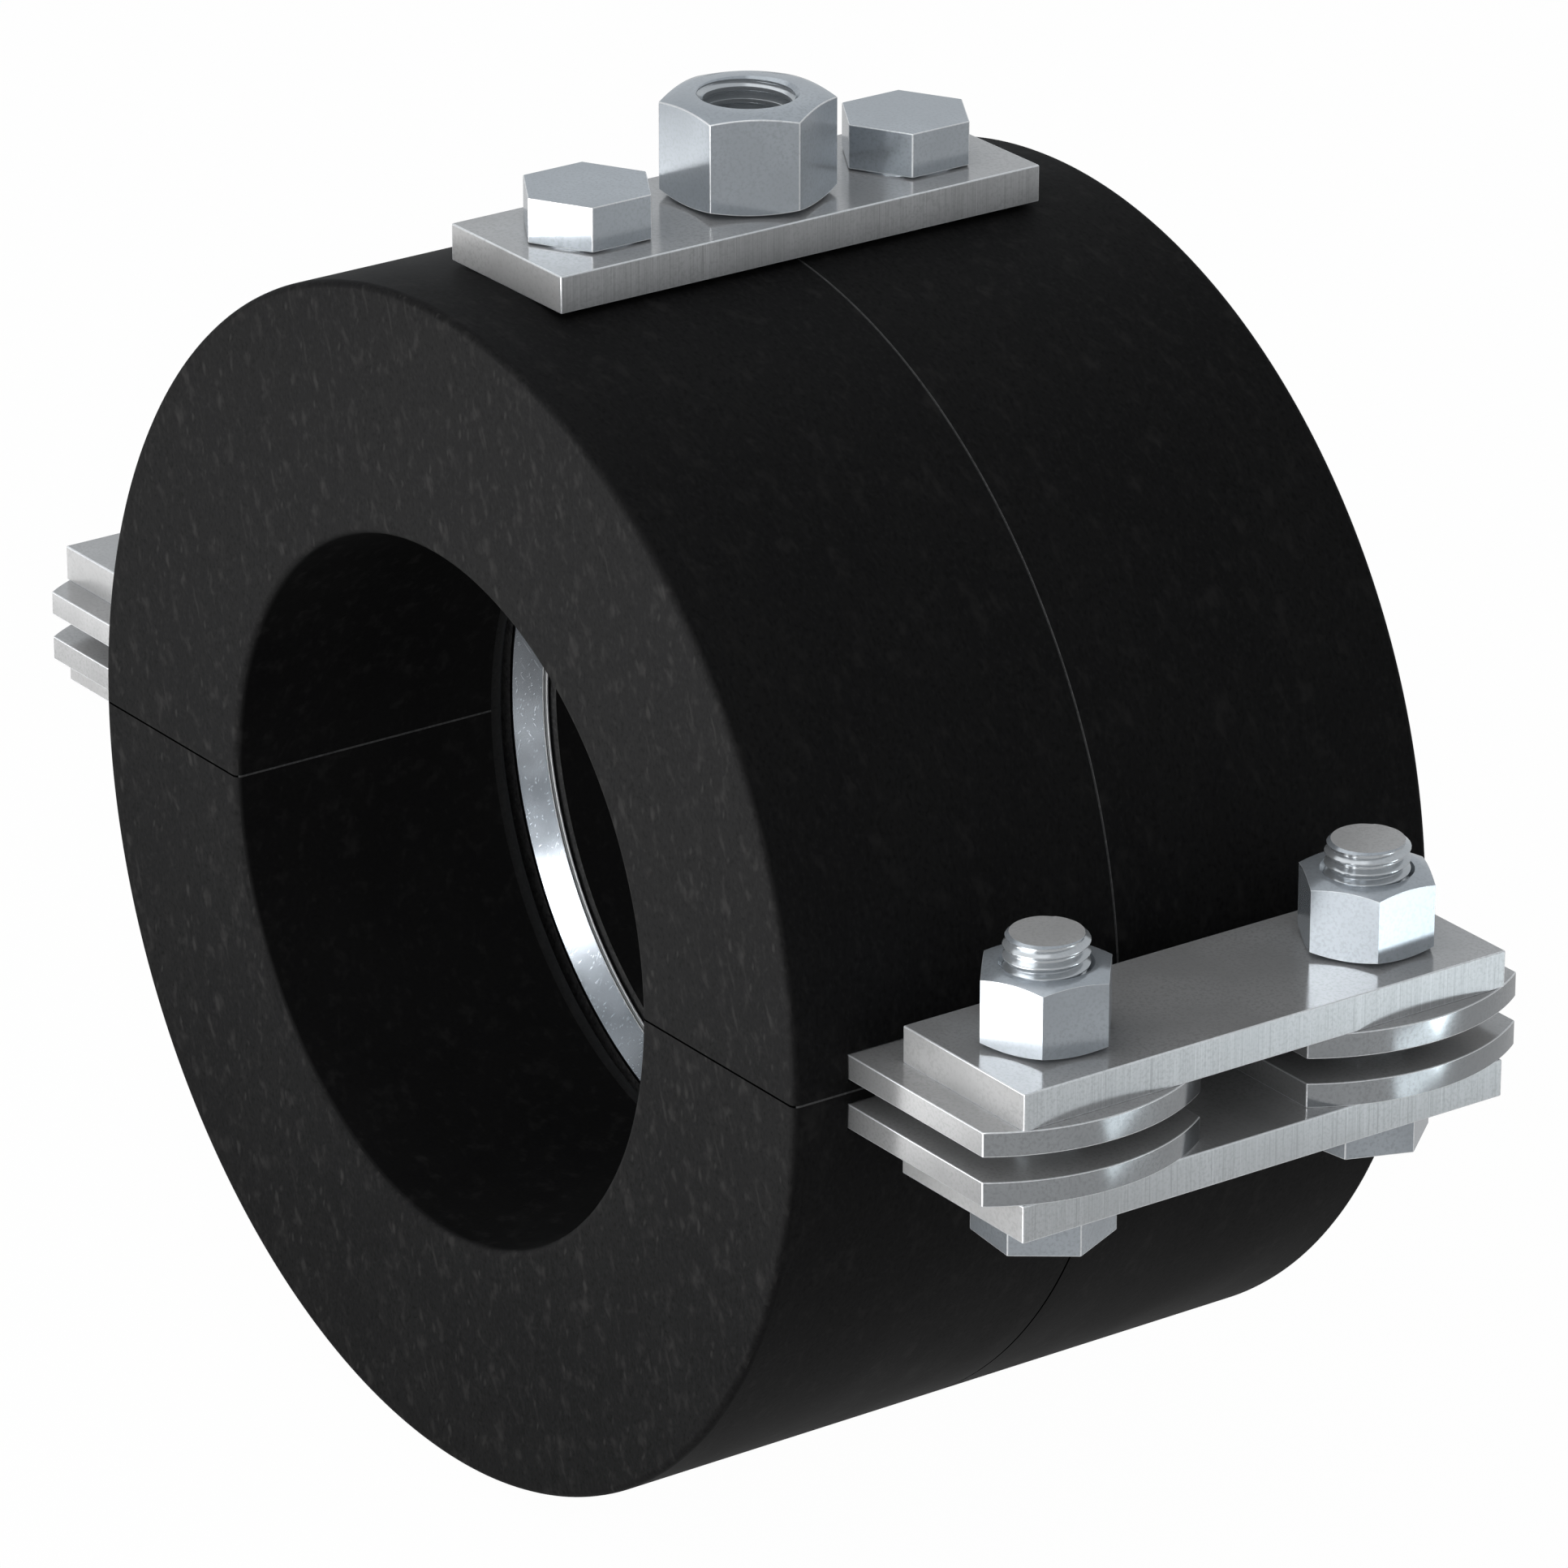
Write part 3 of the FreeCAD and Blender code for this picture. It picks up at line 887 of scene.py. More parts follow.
@dataclass
class Studio:
    """Floor, background, lamps and the camera of the photograph."""

    floor_size: float = 6000.0
    floor_height: float = -97.2
    world_light: float = 0.42
    world_colour: Colour = (0.97, 0.985, 1.0)
    world_gloss: Colour = (0.70, 0.73, 0.755)
    floor_share: float = 0.985
    floor_gloss: float = 0.66
    floor_colour: Colour = (0.80, 0.80, 0.80)
    azimuth: float = 54.7221
    elevation: float = 22.8219
    roll: float = 0.0354
    distance: float = 1483.65
    aim_right: float = 5.606
    aim_up: float = 3.713
    focal_pixels: float = 11510.2
    image_pixels: float = 1932.0
    sensor: float = 36.0
    lamps: tuple[Lamp, ...] = (
        Lamp("front_panel", (-60, -300, 10), (0, 0, 20), (420, 200), 1.9, False),
        Lamp("overhead", (-250, -250, 900), (0, 0, 0), (900, 900), 0.8, False),
        Lamp("front_tall", (70, -325, 60), (70, 0, 60), (260, 300), 6.5),
        Lamp("front_low", (110, -310, -93), (110, -310, 100), (180, 230), 4.7),
        Lamp("front_high", (165, -330, 150), (125, 8, 12), (120, 110), 5.5),
        Lamp("left_near", (-145, -285, -93), (-145, -285, 100), (210, 280), 1.4),
        Lamp("left_far", (-370, -305, -93), (-370, -305, 100), (230, 240), 3.4),
        Lamp("side_low", (322, 132, -93), (322, 132, 100), (60, 116), 1.9, True, (0.86, 0.96, 1.0)),
        Lamp("side_back", (334, 202, -92), (334, 202, 100), (78, 84), 4.6, True, (0.86, 0.96, 1.0)),
        Lamp("ring_glint", (700, -728, 610), (0, 0, 0), (300, 420), 14.0),
    )

    def build(self) -> None:
        """Make the world, the floor, the lamps and the camera."""
        self.light_world()
        self.lay_floor()
        for lamp in self.lamps:
            self.hang_lamp(lamp)
        self.set_camera()

    def light_world(self) -> None:
        """White where the camera and the metals look, a plain soft grey as a source of light."""
        bpy.context.scene.view_settings.view_transform = "Standard"
        world = bpy.data.worlds.new("studio")
        bpy.context.scene.world = world
        board = NodeBoard(world)
        tint = board.blend(board.ray("Camera"), self.world_gloss, (1.0, 1.0, 1.0))
        glow = board.emit("ShaderNodeBackground", self.world_colour, self.world_light)
        seen = board.emit("ShaderNodeBackground", tint, 1.0)
        board.mix("ShaderNodeOutputWorld", board.looked_at(), glow, seen)

    def lay_floor(self) -> None:
        """Pale floor that reads as white and keeps a trace of the object's shadow."""
        deselect()
        below = (0, 0, self.floor_height * MM)
        bpy.ops.mesh.primitive_plane_add(size=self.floor_size * MM, location=below)
        floor = bpy.context.object
        floor.name = "floor"
        bpy.ops.object.transform_apply(location=True, rotation=True, scale=True)
        material = bpy.data.materials.new("floor")
        board = NodeBoard(material)
        matt = board.node("ShaderNodeBsdfDiffuse")
        board.feed(matt.inputs["Color"], (*self.floor_colour, 1.0))
        rest = 1.0 - self.floor_gloss
        strength = board.maths("MULTIPLY_ADD", board.ray("Camera"), rest, self.floor_gloss)
        white = board.emit("ShaderNodeEmission", (1.0, 1.0, 1.0), strength)
        share = board.maths("MULTIPLY", board.looked_at(), self.floor_share)
        board.mix("ShaderNodeOutputMaterial", share, matt.outputs[0], white)
        floor.data.materials.append(material)

    def hang_lamp(self, plan: Lamp) -> None:
        """Add a soft rectangular lamp as planned."""
        lamp = bpy.data.lights.new(plan.name, "AREA")
        lamp.shape = "RECTANGLE"
        lamp.size = plan.size[0] * MM
        lamp.size_y = plan.size[1] * MM
        lamp.color = plan.colour
        lamp.energy = plan.radiance * math.pi * lamp.size * lamp.size_y
        holder = bpy.data.objects.new(plan.name, lamp)
        holder.location = [v * MM for v in plan.at]
        aim = Vector(plan.towards) - Vector(plan.at)
        holder.rotation_euler = aim.to_track_quat("-Z", "Y").to_euler()
        holder.visible_camera = False
        holder.visible_diffuse = not plan.glint
        bpy.context.collection.objects.link(holder)

    def set_camera(self) -> None:
        """Put the camera where the photograph was taken from."""
        azimuth, elevation = math.radians(self.azimuth), math.radians(self.elevation)
        back = Vector((
            math.sin(azimuth) * math.cos(elevation),
            -math.cos(azimuth) * math.cos(elevation),
            math.sin(elevation),
        ))
        level = Vector((math.cos(azimuth), math.sin(azimuth), 0))
        upright = back.cross(level)
        lean = math.radians(self.roll)
        right = level * math.cos(lean) + upright * math.sin(lean)
        up = upright * math.cos(lean) - level * math.sin(lean)
        data = bpy.data.cameras.new("camera")
        data.sensor_width = self.sensor
        data.lens = self.focal_pixels * self.sensor / self.image_pixels
        data.clip_end = 20.0
        camera = bpy.data.objects.new("camera", data)
        turn = Matrix((right, up, back)).transposed()
        spot = (back * self.distance + right * self.aim_right + up * self.aim_up) * MM
        camera.matrix_world = Matrix.Translation(spot) @ turn.to_4x4()
        bpy.context.collection.objects.link(camera)
        bpy.context.scene.camera = camera


@dataclass
class InsulationSleeve:
    """Four foam half rings, with the recess that traps the steel ring."""

    bore_radius: float = 57.15
    outer_radius: float = 97.15
    half_length: float = 60.0
    split_gap: float = 0.06
    split_edge: float = 0.13
    seam_gap: float = 0.04
    face_edge: float = 1.2
    seam_edge: float = 0.16
    lip_edge: float = 3.5
    lip_end_y: float = -7.6
    relief_radius: float = 67.95
    seat_start_y: float = -4.4
    seat_radius: float = 61.7
    recess_depth: float = 1.6
    recess_radius: float = 65.95
    plate_seat: Point3 = (30.0, 90.0, 97.0)
    seat_former_height: float = 4.0
    pocket_former_top: float = 110.0
    boss_pocket_diameter: float = 22.4
    steps: int = 144
    finishes: list[FoamFinish] = field(default_factory=lambda: [
        # Cut face, skin and bore differ partly in their own tone and partly by painted light: the face
        # is paler, the bore darker as painted shade.
        FoamFinish(FoamZone.SKIN, 0.0067, 2.4, 0.30, 0.045),
        FoamFinish(FoamZone.FACE, 0.0087, 3.4, 1.0, 0.032),
        FoamFinish(FoamZone.BORE, 0.0027, 4.6, 0.55),
        # Pale painted highlight on the seam and split edges.
        FoamFinish(FoamZone.PAINTED_HIGHLIGHT_LINE, 0.060, 1.1, 0.0, 0.20),
        # Near-black painted shade in the seam and split gaps.
        FoamFinish(FoamZone.PAINTED_SHADE_GAP, 0.0006, 1.0, 0.0, 0.0),
        # Pale painted light on the rear ring's step inside the bore.
        FoamFinish(FoamZone.STEP, 0.070, 1.3, 0.5, 0.15),
        # Very pale painted light on the recess side deep in the bore.
        FoamFinish(FoamZone.WALL, 0.26, 1.2, 0.3, 0.10),
        # Painted highlight on the rounding at the end of the front bore.
        FoamFinish(FoamZone.ROLL, 0.012, 2.0, 0.5, 0.10),
    ])

    def section(self, row: Row) -> list[Point2]:
        """Outline of one ring as (place along the pipe, radius)."""
        seam = row.sign * self.seam_gap / 2
        end = row.sign * self.half_length
        rim = [
            (end, self.outer_radius, self.face_edge),
            (seam, self.outer_radius, self.seam_edge),
        ]
        if row is Row.FRONT:
            inside = [
                (seam, self.seat_radius, 0),
                (self.seat_start_y, self.seat_radius, 0),
                (self.seat_start_y, self.relief_radius, 0),
                (self.lip_end_y, self.relief_radius, 0),
                (self.lip_end_y, self.bore_radius, self.lip_edge),
            ]
        else:
            recess = seam + self.recess_depth
            inside = [
                (seam, self.recess_radius, 0),
                (recess, self.recess_radius, 0),
                (recess, self.bore_radius, 0),
            ]
        return rounded_outline(rim + inside + [(end, self.bore_radius, self.face_edge)])

    def build(self, bands: "ClampBands") -> None:
        """Model, dress and place the four half rings.

        Args:
            bands: The bands whose slots are cut into the foam.
        """
        materials = [finish.make() for finish in self.finishes]
        for row in Row:
            points = [(radius, y, 0.0) for y, radius in self.section(row)]
            ring = filled(f"foam_{row.value}_upper", points)
            bpy.ops.mesh.spin(steps=self.steps, angle=math.pi, center=(0, 0, 0), axis=(0, 1, 0))
            closed(ring)
            cut_level(ring, self.split_gap / 2, True)
            self.line_split(ring)
            boolean(ring, bands.slot_former(row), "DIFFERENCE")
            lower = mirror(copy_of(ring, f"foam_{row.value}_lower"))
            boolean(ring, self.seat_former(), "DIFFERENCE")
            low, high = bands.inner_radius, self.pocket_former_top
            pocket = drill(0, bands.row_y(row), self.boss_pocket_diameter, low, high)
            boolean(ring, pocket, "DIFFERENCE")
            for piece, half in ((ring, Half.UPPER), (lower, Half.LOWER)):
                self.finish(piece, materials)
                settle(piece, half.body, f"insulation_{row.value}_{half.value}", 40)

    def seat_former(self) -> bpy.types.Object:
        """Solid that presses the plate's seat into the crown of the foam."""
        width, length, low = self.plate_seat
        signs = ((-1, -1), (1, -1), (1, 1), (-1, 1))
        corners = [(x * width / 2, y * length / 2, low) for x, y in signs]
        return prism("seat_former", corners, (0, 0, self.seat_former_height))

    def line_split(self, ring: bpy.types.Object) -> None:
        """Part a narrow strip off every face that meets the split, for the painted highlight and
        painted shade lines along it.
        """
        edit(ring)
        level = (self.split_gap / 2 + self.split_edge) * MM
        bpy.ops.mesh.bisect(plane_co=(0, 0, level), plane_no=(0, 0, 1))
        leave_edit()

    def zone_of(self, face: bpy.types.MeshPolygon) -> FoamZone:
        """Tell the skin, the cut faces, the bore and the lines, sides and roundings that carry painted
        highlight, painted light or painted shade apart by place and slant.
        """
        centre = face.center / MM
        radius = math.hypot(centre.x, centre.z)
        slant = face.normal
        by_split = abs(centre.z) < self.split_gap / 2 + self.split_edge and abs(slant.z) < 0.5
        # Near-black painted shade along the split where it meets the end faces.
        if by_split and abs(slant.y) > 0.5 and abs(centre.y) > self.half_length - self.face_edge:
            return FoamZone.PAINTED_SHADE_GAP
        # Pale painted highlight along the split on the skin and in the front bore.
        if by_split and (radius > self.outer_radius - 1 or centre.y < self.lip_end_y - self.lip_edge):
            return FoamZone.PAINTED_HIGHLIGHT_LINE
        by_seam = abs(centre.y) < self.seam_gap / 2 + self.seam_edge
        # On the seam the upper rounding gets the pale painted highlight, the lower one the near-black
        # painted shade.
        if by_seam and radius > self.outer_radius - self.seam_edge:
            return FoamZone.PAINTED_HIGHLIGHT_LINE if centre.z > 0 else FoamZone.PAINTED_SHADE_GAP
        # Inside the bore the recess sides get pale painted light, the front one the palest.
        if radius > self.bore_radius and abs(slant.y) > 0.9 and abs(centre.y) < 6:
            return FoamZone.WALL if centre.y < self.seat_start_y / 2 else FoamZone.STEP
        # The rounding at the end of the front bore gets a painted highlight.
        if radius < self.bore_radius + self.lip_edge and abs(centre.y - self.lip_end_y) < self.lip_edge:
            return FoamZone.ROLL
        if abs(slant.y) > 0.6 and radius > self.bore_radius:
            return FoamZone.FACE
        # The bore's darker finish is partly painted shade.
        if radius < self.relief_radius + 1 and abs(slant.y) < 0.8:
            return FoamZone.BORE
        return FoamZone.SKIN

    def finish(self, piece: bpy.types.Object, materials: list[bpy.types.Material]) -> None:
        """Give the skin, the cut faces and the bore their own finishes."""
        closed(piece)
        dress(piece, materials)
        zones = [finish.zone for finish in self.finishes]
        for face in piece.data.polygons:
            face.material_index = zones.index(self.zone_of(face))


@dataclass
class ClampBands:
    """Four half bands bent from flat strip, each with two drilled tabs."""

    inner_radius: float = 79.0
    thickness: float = 4.0
    width: float = 40.0
    spacing: float = 60.0
    bend_radius: float = 4.0
    clearance: float = 0.2
    tab_bottom: float = 2.0
    tab_corner_x: float = 130.4
    tab_bulge: float = 6.2
    hole_x: float = 118.75
    hole_diameter: float = 14.0
    edge: float = 0.18
    ring_steps: int = 96
    bend_steps: int = 10
    bow_steps: int = 40
    former_bottom: float = -10.0
    former_height: float = 120.0

    def row_y(self, row: Row) -> float:
        """Place of a band along the pipe."""
        return row.sign * self.spacing / 2

    def middle_line(self, end_x: float) -> list[Point2]:
        """Middle of the strip in the XZ plane, from the right tab's end to the left one's."""
        middle = self.inner_radius + self.thickness / 2
        level = self.tab_bottom + self.thickness / 2
        bend = self.bend_radius + self.thickness / 2
        bend_z = level + bend
        bend_x = math.sqrt((middle + bend) ** 2 - bend_z ** 2)
        meet = math.degrees(math.asin(bend_z / (middle + bend)))
        right = [(end_x, level)] + arc_points((bend_x, bend_z), bend, 270, 180 + meet, self.bend_steps)
        left = [(-x, z) for x, z in reversed(right)]
        hoop = arc_points((0, 0), middle, meet, 180 - meet, self.ring_steps)
        return right + hoop[1:-1] + left

    def strip(self, name: str, row: Row, clearance: float) -> bpy.types.Object:
        """Upper band as a bent strip with straight ends.

        Args:
            name: Name of the new object.
            row: The row that the band is in.
            clearance: Room added all round.

        Returns:
            The closed solid.
        """
        end_x = self.tab_corner_x + self.tab_bulge + clearance
        start_y = self.row_y(row) - self.width / 2 - clearance
        piece = wire(name, [(x, start_y, z) for x, z in self.middle_line(end_x)])
        bpy.ops.mesh.select_all(action="SELECT")
        across = (0, (self.width + 2 * clearance) * MM, 0)
        bpy.ops.mesh.extrude_edges_move(TRANSFORM_OT_translate={"value": across})
        thickness = (self.thickness + 2 * clearance) * MM
        shape_by(piece, "SOLIDIFY", thickness=thickness, offset=0, use_even_offset=True)
        return closed(piece)

    def slot_former(self, row: Row) -> bpy.types.Object:
        """Solid that cuts a band's slot into the foam."""
        return self.strip("slot_former", row, self.clearance)

    def plan_form(self, row: Row) -> bpy.types.Object:
        """Upright solid with the band's outline in plan: sharp corners and bowed tab ends."""
        half = self.width / 2
        radius = (half ** 2 + self.tab_bulge ** 2) / (2 * self.tab_bulge)
        reach = math.degrees(math.asin(half / radius))
        centre_x = self.tab_corner_x + self.tab_bulge - radius
        right = arc_points((centre_x, self.row_y(row)), radius, -reach, reach, self.bow_steps)
        left_centre = (-centre_x, self.row_y(row))
        left = arc_points(left_centre, radius, 180 - reach, 180 + reach, self.bow_steps)
        corners = [(x, y, self.former_bottom) for x, y in right + left]
        return prism("plan_form", corners, (0, 0, self.former_height))

    def build(self, finishes: list[bpy.types.Material]) -> None:
        """Model, dress and place the four half bands.

        Args:
            finishes: Materials in the order of StripSlot.
        """
        for row in Row:
            band = self.strip(f"clamp_band_{row.value}_upper", row, 0.0)
            boolean(band, self.plan_form(row), "INTERSECT")
            for side in Side:
                hole = drill(side.sign * self.hole_x, self.row_y(row), self.hole_diameter, -2, 12)
                boolean(band, hole, "DIFFERENCE")
            closed(band)
            dress(band, finishes)
            for face in band.data.polygons:
                if abs(face.center.x) > (self.tab_corner_x - 1) * MM and abs(face.normal.z) < 0.1:
                    face.material_index = StripSlot.RIM.value
            ease_edges(band, self.edge, StripSlot.EDGE, 40)
            lower = mirror(copy_of(band, f"clamp_band_{row.value}_lower"))
            for piece, half in ((band, Half.UPPER), (lower, Half.LOWER)):
                settle(piece, half.body, f"band_{row.value}_{half.value}", 40)


@dataclass
class FlatBars:
    """The side bars over and under the tabs, and the plate on the crown."""

    width: float = 30.0
    length: float = 90.0
    thickness: float = 6.0
    side_x: float = 118.75
    side_bottom: float = 6.0
    crown_bottom: float = 97.0
    hole_y: float = 30.0
    hole_diameter: float = 14.0
    edge: float = 0.22

    def plate(self, name: str, finishes: list[bpy.types.Material]) -> bpy.types.Object:
        """Drilled bar with its bottom on Z = 0.

        Args:
            name: Name of the new object.
            finishes: Materials in the order of StripSlot.

        Returns:
            The solid, with its faces marked for their finishes.
        """
        deselect()
        bpy.ops.mesh.primitive_cube_add(size=MM, location=(0, 0, self.thickness / 2 * MM))
        bar = bpy.context.object
        bar.name = name
        dress(bar, finishes)
        bpy.ops.object.mode_set(mode="EDIT")
        bpy.ops.mesh.select_all(action="SELECT")
        bpy.ops.transform.resize(value=(self.width, self.length, self.thickness))
        bpy.ops.mesh.bevel(
            offset=self.edge * MM,
            segments=3,
            affect="EDGES",
            clamp_overlap=True,
            material=StripSlot.EDGE.value,
        )
        leave_edit()
        place(bar, (0, 0, self.thickness / 2))
        # Faces at the ends take the duller end zinc, which is partly painted light.
        for face in bar.data.polygons:
            if abs(face.normal.x) > 0.99:
                face.material_index = StripSlot.SHEARED.value
            elif abs(face.normal.y) > 0.99:
                face.material_index = StripSlot.END.value
        for y in (-self.hole_y, self.hole_y):
            hole = drill(0, y, self.hole_diameter, -OVERSHOOT, self.thickness + OVERSHOOT)
            boolean(bar, hole, "DIFFERENCE")
        return closed(bar)

    def build(self, finishes: list[bpy.types.Material]) -> None:
        """Model, dress and place the four side bars and the top plate.

        Args:
            finishes: Materials in the order of StripSlot.
        """
        crown = place(self.plate("crown_plate", finishes), (0, 0, self.crown_bottom))
        settle(crown, Half.UPPER.body, "top_plate", 40)
        for side in Side:
            at = (side.sign * self.side_x, 0, self.side_bottom)
            upper = place(self.plate(f"bar_{side.value}_upper", finishes), at)
            lower = mirror(copy_of(upper, f"bar_{side.value}_lower"))
            for piece, half in ((upper, Half.UPPER), (lower, Half.LOWER)):
                settle(piece, half.body, f"side_bar_{side.value}_{half.value}", 40)


@dataclass
class BoreRing:
    """Loose steel ring in the middle of the bore: a cone, a fine groove, a land and a small step."""

    outer_radius: float = 61.55
    mouth_radius: float = 61.3
    throat_radius: float = 58.36
    front_y: float = -4.25
    back_y: float = 0.85
    cone_end_y: float = -0.21
    groove_y: Point2 = (-0.10, 0.10)
    groove_depth: float = 0.25
    step_y: float = 0.53
    step: float = 0.10
    edge: float = 0.06
    steps: int = 288

    def profile(self) -> list[Point2]:
        """Section as (radius, place along the pipe)."""
        throat, groove = self.throat_radius, self.throat_radius + self.groove_depth
        start, end = self.groove_y
        return [
            (self.outer_radius, self.front_y),
            (self.mouth_radius + self.edge, self.front_y),
            (self.mouth_radius - self.edge, self.front_y + self.edge),
            (throat, self.cone_end_y),
            (throat - self.step, start - self.edge),
            (throat - self.step, start),
            (groove, start + self.edge / 2),
            (groove, end - self.edge / 2),
            (throat, end),
            (throat, self.step_y),
            (throat - self.step, self.step_y + self.edge),
            (throat - self.step, self.back_y - self.edge),
            (throat, self.back_y),
            (self.outer_radius, self.back_y),
        ]

    def build(self, finishes: list[bpy.types.Material]) -> None:
        """Model and dress the ring.

        Args:
            finishes: Materials in the order of RingSlot.
        """
        ring = turned("trapped_ring", self.profile(), self.steps, "Y")
        dress(ring, finishes)
        for face in ring.data.polygons:
            face.material_index = self.slot_of(face).value
        settle(ring, Half.LOWER.body, "bore_ring", 25)

    def slot_of(self, face: bpy.types.MeshPolygon) -> RingSlot:
        """Tell the cone, the groove with its painted shade, the flat band behind it with its painted
        light and the edges with their painted highlight apart by place.
        """
        centre = face.center / MM
        radius = math.hypot(centre.x, centre.z)
        start, end = self.groove_y
        if centre.y < self.cone_end_y or radius > self.throat_radius + self.groove_depth + 0.1:
            return RingSlot.CONE
        # The fine groove gets painted shade.
        if start < centre.y < end + self.edge / 2 and radius > self.throat_radius - self.step:
            return RingSlot.PAINTED_SHADE_GROOVE
        # The flat band behind the groove gets painted light.
        if end < centre.y < self.step_y:
            return RingSlot.PAINTED_LIGHT_LAND
        # The remaining edges and step faces get the painted highlight.
        return RingSlot.PAINTED_GLINT


@dataclass(frozen=True)
class NutSize:
    """Sizes that make one kind of nut."""

    flats: float
    height: float
    chamfer: float
    root: float
    crest: float
    pitch: float
    mouth: float


@dataclass
class Fasteners:
    """Bolts and nuts with cut threads: four at the sides, two on the plate, and the hanger nut."""

    bolt_flats: float = 18.9
    head_height: float = 7.5
    washer_height: float = 0.3
    washer_inset: float = 0.35
    crest_radius: float = 6.55
    root_radius: float = 5.6
    pitch: float = 1.75
    side_bolt_length: float = 40.8
    top_bolt_length: float = 18.0
    point_chamfer: float = 0.95
    thread_length: float = 34.0
    nut_height: float = 12.0
    nut_chamfer: float = 1.0
    nut_clearance: float = 0.08
    nut_sink: float = 0.6
    face_share: float = 0.875
    hanger_flats: float = 24.0
    hanger_height: float = 16.5
    hanger_chamfer: float = 1.15
    hanger_root: float = 7.0
    hanger_crest: float = 7.95
    hanger_pitch: float = 2.0
    hanger_mouth: float = 8.05
    edge: float = 0.16
    side_x: float = 118.75
    row_y: float = 30.0
    bar_top: float = 12.0
    crown_top: float = 103.0
    nut_turns: dict[Side, Point2] = field(
        default_factory=lambda: {Side.RIGHT: (20.7, 31.3), Side.LEFT: (24.7, 8.0)}
    )
    head_turns: dict[Side, Point2] = field(
        default_factory=lambda: {Side.RIGHT: (54.1, 9.4), Side.LEFT: (33.0, 47.0)}
    )
    top_turn: float = 30.0
    finishes: list[bpy.types.Material] = field(default_factory=list)

    def head(self, name: str, turn: float, up: bool) -> bpy.types.Object:
        """Sharp hexagon head on a thin round washer face, with its seat on Z = 0.

        Args:
            name: Name of the new object.
            turn: Turn of its corners from +X in degrees.
            up: True where the head stands above its seat.

        Returns:
            The solid with lightly eased edges.
        """
        corners = [(x, y, self.washer_height) for x, y in hexagon(self.bolt_flats, turn)]
        head = prism(name, corners, (0, 0, self.head_height - self.washer_height))
        dress(head, self.finishes)
        ease_edges(head, self.edge, FastenerSlot.EDGE, 35)
        radius, top = self.bolt_flats / 2 - self.washer_inset, self.washer_height + 0.5
        outline = [(0, 0), (radius, 0), (radius, top), (0, top)]
        washer = turned("washer_face", outline, TURN_STEPS)
        dress(washer, self.finishes)
        boolean(head, washer, "UNION")
        return head if up else mirror(head)

    def shank(self, length: float, up: bool) -> bpy.types.Object:
        """Threaded shank from the seat to its chamfered point.

        Args:
            length: Length from the seat to the point.
            up: True where the shank points up.

        Returns:
            The solid, with its thread in step with the nuts.
        """
        threaded = min(self.thread_length, length - 2)
        start = length - threaded
        screw = helix("screw", self.root_radius, self.crest_radius, self.pitch, start, length)
        self.mark_thread(screw)
        end = self.crest_radius - self.point_chamfer
        envelope = [
            (0.0, start - 1),
            (self.crest_radius + 0.3, start - 1),
            (self.crest_radius + 0.3, length - self.point_chamfer - 0.3),
            (end, length),
            (0.0, length),
        ]
        boolean(screw, turned("point", envelope, TURN_STEPS), "INTERSECT")
        neck = drill(0, 0, 2 * self.crest_radius, -1.0, start + 0.6, TURN_STEPS)
        boolean(screw, neck, "UNION")
        # The bolt's point takes the duller end zinc, which is partly painted light.
        for face in screw.data.polygons:
            if face.normal.z > 0.99 and face.center.z > (length - 0.1) * MM:
                face.material_index = FastenerSlot.END.value
        if not up:
            mirror(screw)
        return screw

    def nut(self, name: str, size: NutSize, turn: float, base_z: float) -> bpy.types.Object:
        """Hexagon nut with a cut thread and countersunk ends.

        Args:
            name: Name of the new object.
            size: The nut's sizes.
            turn: Turn of its corners from +X in degrees.
            base_z: Height of its seat, which sets where its thread lies.

        Returns:
            The solid on Z = 0.
        """
        corners = [(x, y, 0.0) for x, y in hexagon(size.flats, turn)]
        body = prism(name, corners, (0, 0, size.height))
        corner = size.flats / math.sqrt(3)
        face = size.flats / 2 * self.face_share
        envelope = [
            (0.0, 0.0),
            (face, 0.0),
            (corner, size.chamfer),
            (corner, size.height - size.chamfer),
            (face, size.height),
            (0.0, size.height),
        ]
        boolean(body, turned("turned_ends", envelope, TURN_STEPS), "INTERSECT")
        closed(body)
        dress(body, self.finishes)
        ease_edges(body, self.edge, FastenerSlot.EDGE, 35)
        low, high = base_z - OVERSHOOT, base_z + size.height + OVERSHOOT
        thread = helix("thread", size.root, size.crest, size.pitch, low, high)
        self.mark_thread(thread)
        place(thread, (0, 0, -base_z))
        boolean(body, thread, "DIFFERENCE")
        mouth = size.mouth
        sink = mouth - size.root + 0.4
        for is_low in (True, False):
            cone = [(0.0, -0.5), (mouth + 0.5, -0.5), (mouth - sink, sink), (0.0, sink)]
            if not is_low:
                cone = [(r, size.height - h) for r, h in cone]
            boolean(body, turned("countersink", cone, TURN_STEPS), "DIFFERENCE")
        return closed(body)

    def mark_thread(self, screw: bpy.types.Object) -> None:
        """Give a thread the finish of its flanks, and its flat ends the duller end finish, which is
        partly painted light.
        """
        dress(screw, self.finishes)
        for face in screw.data.polygons:
            is_end = abs(face.normal.z) > 0.999
            face.material_index = (FastenerSlot.END if is_end else FastenerSlot.THREAD).value

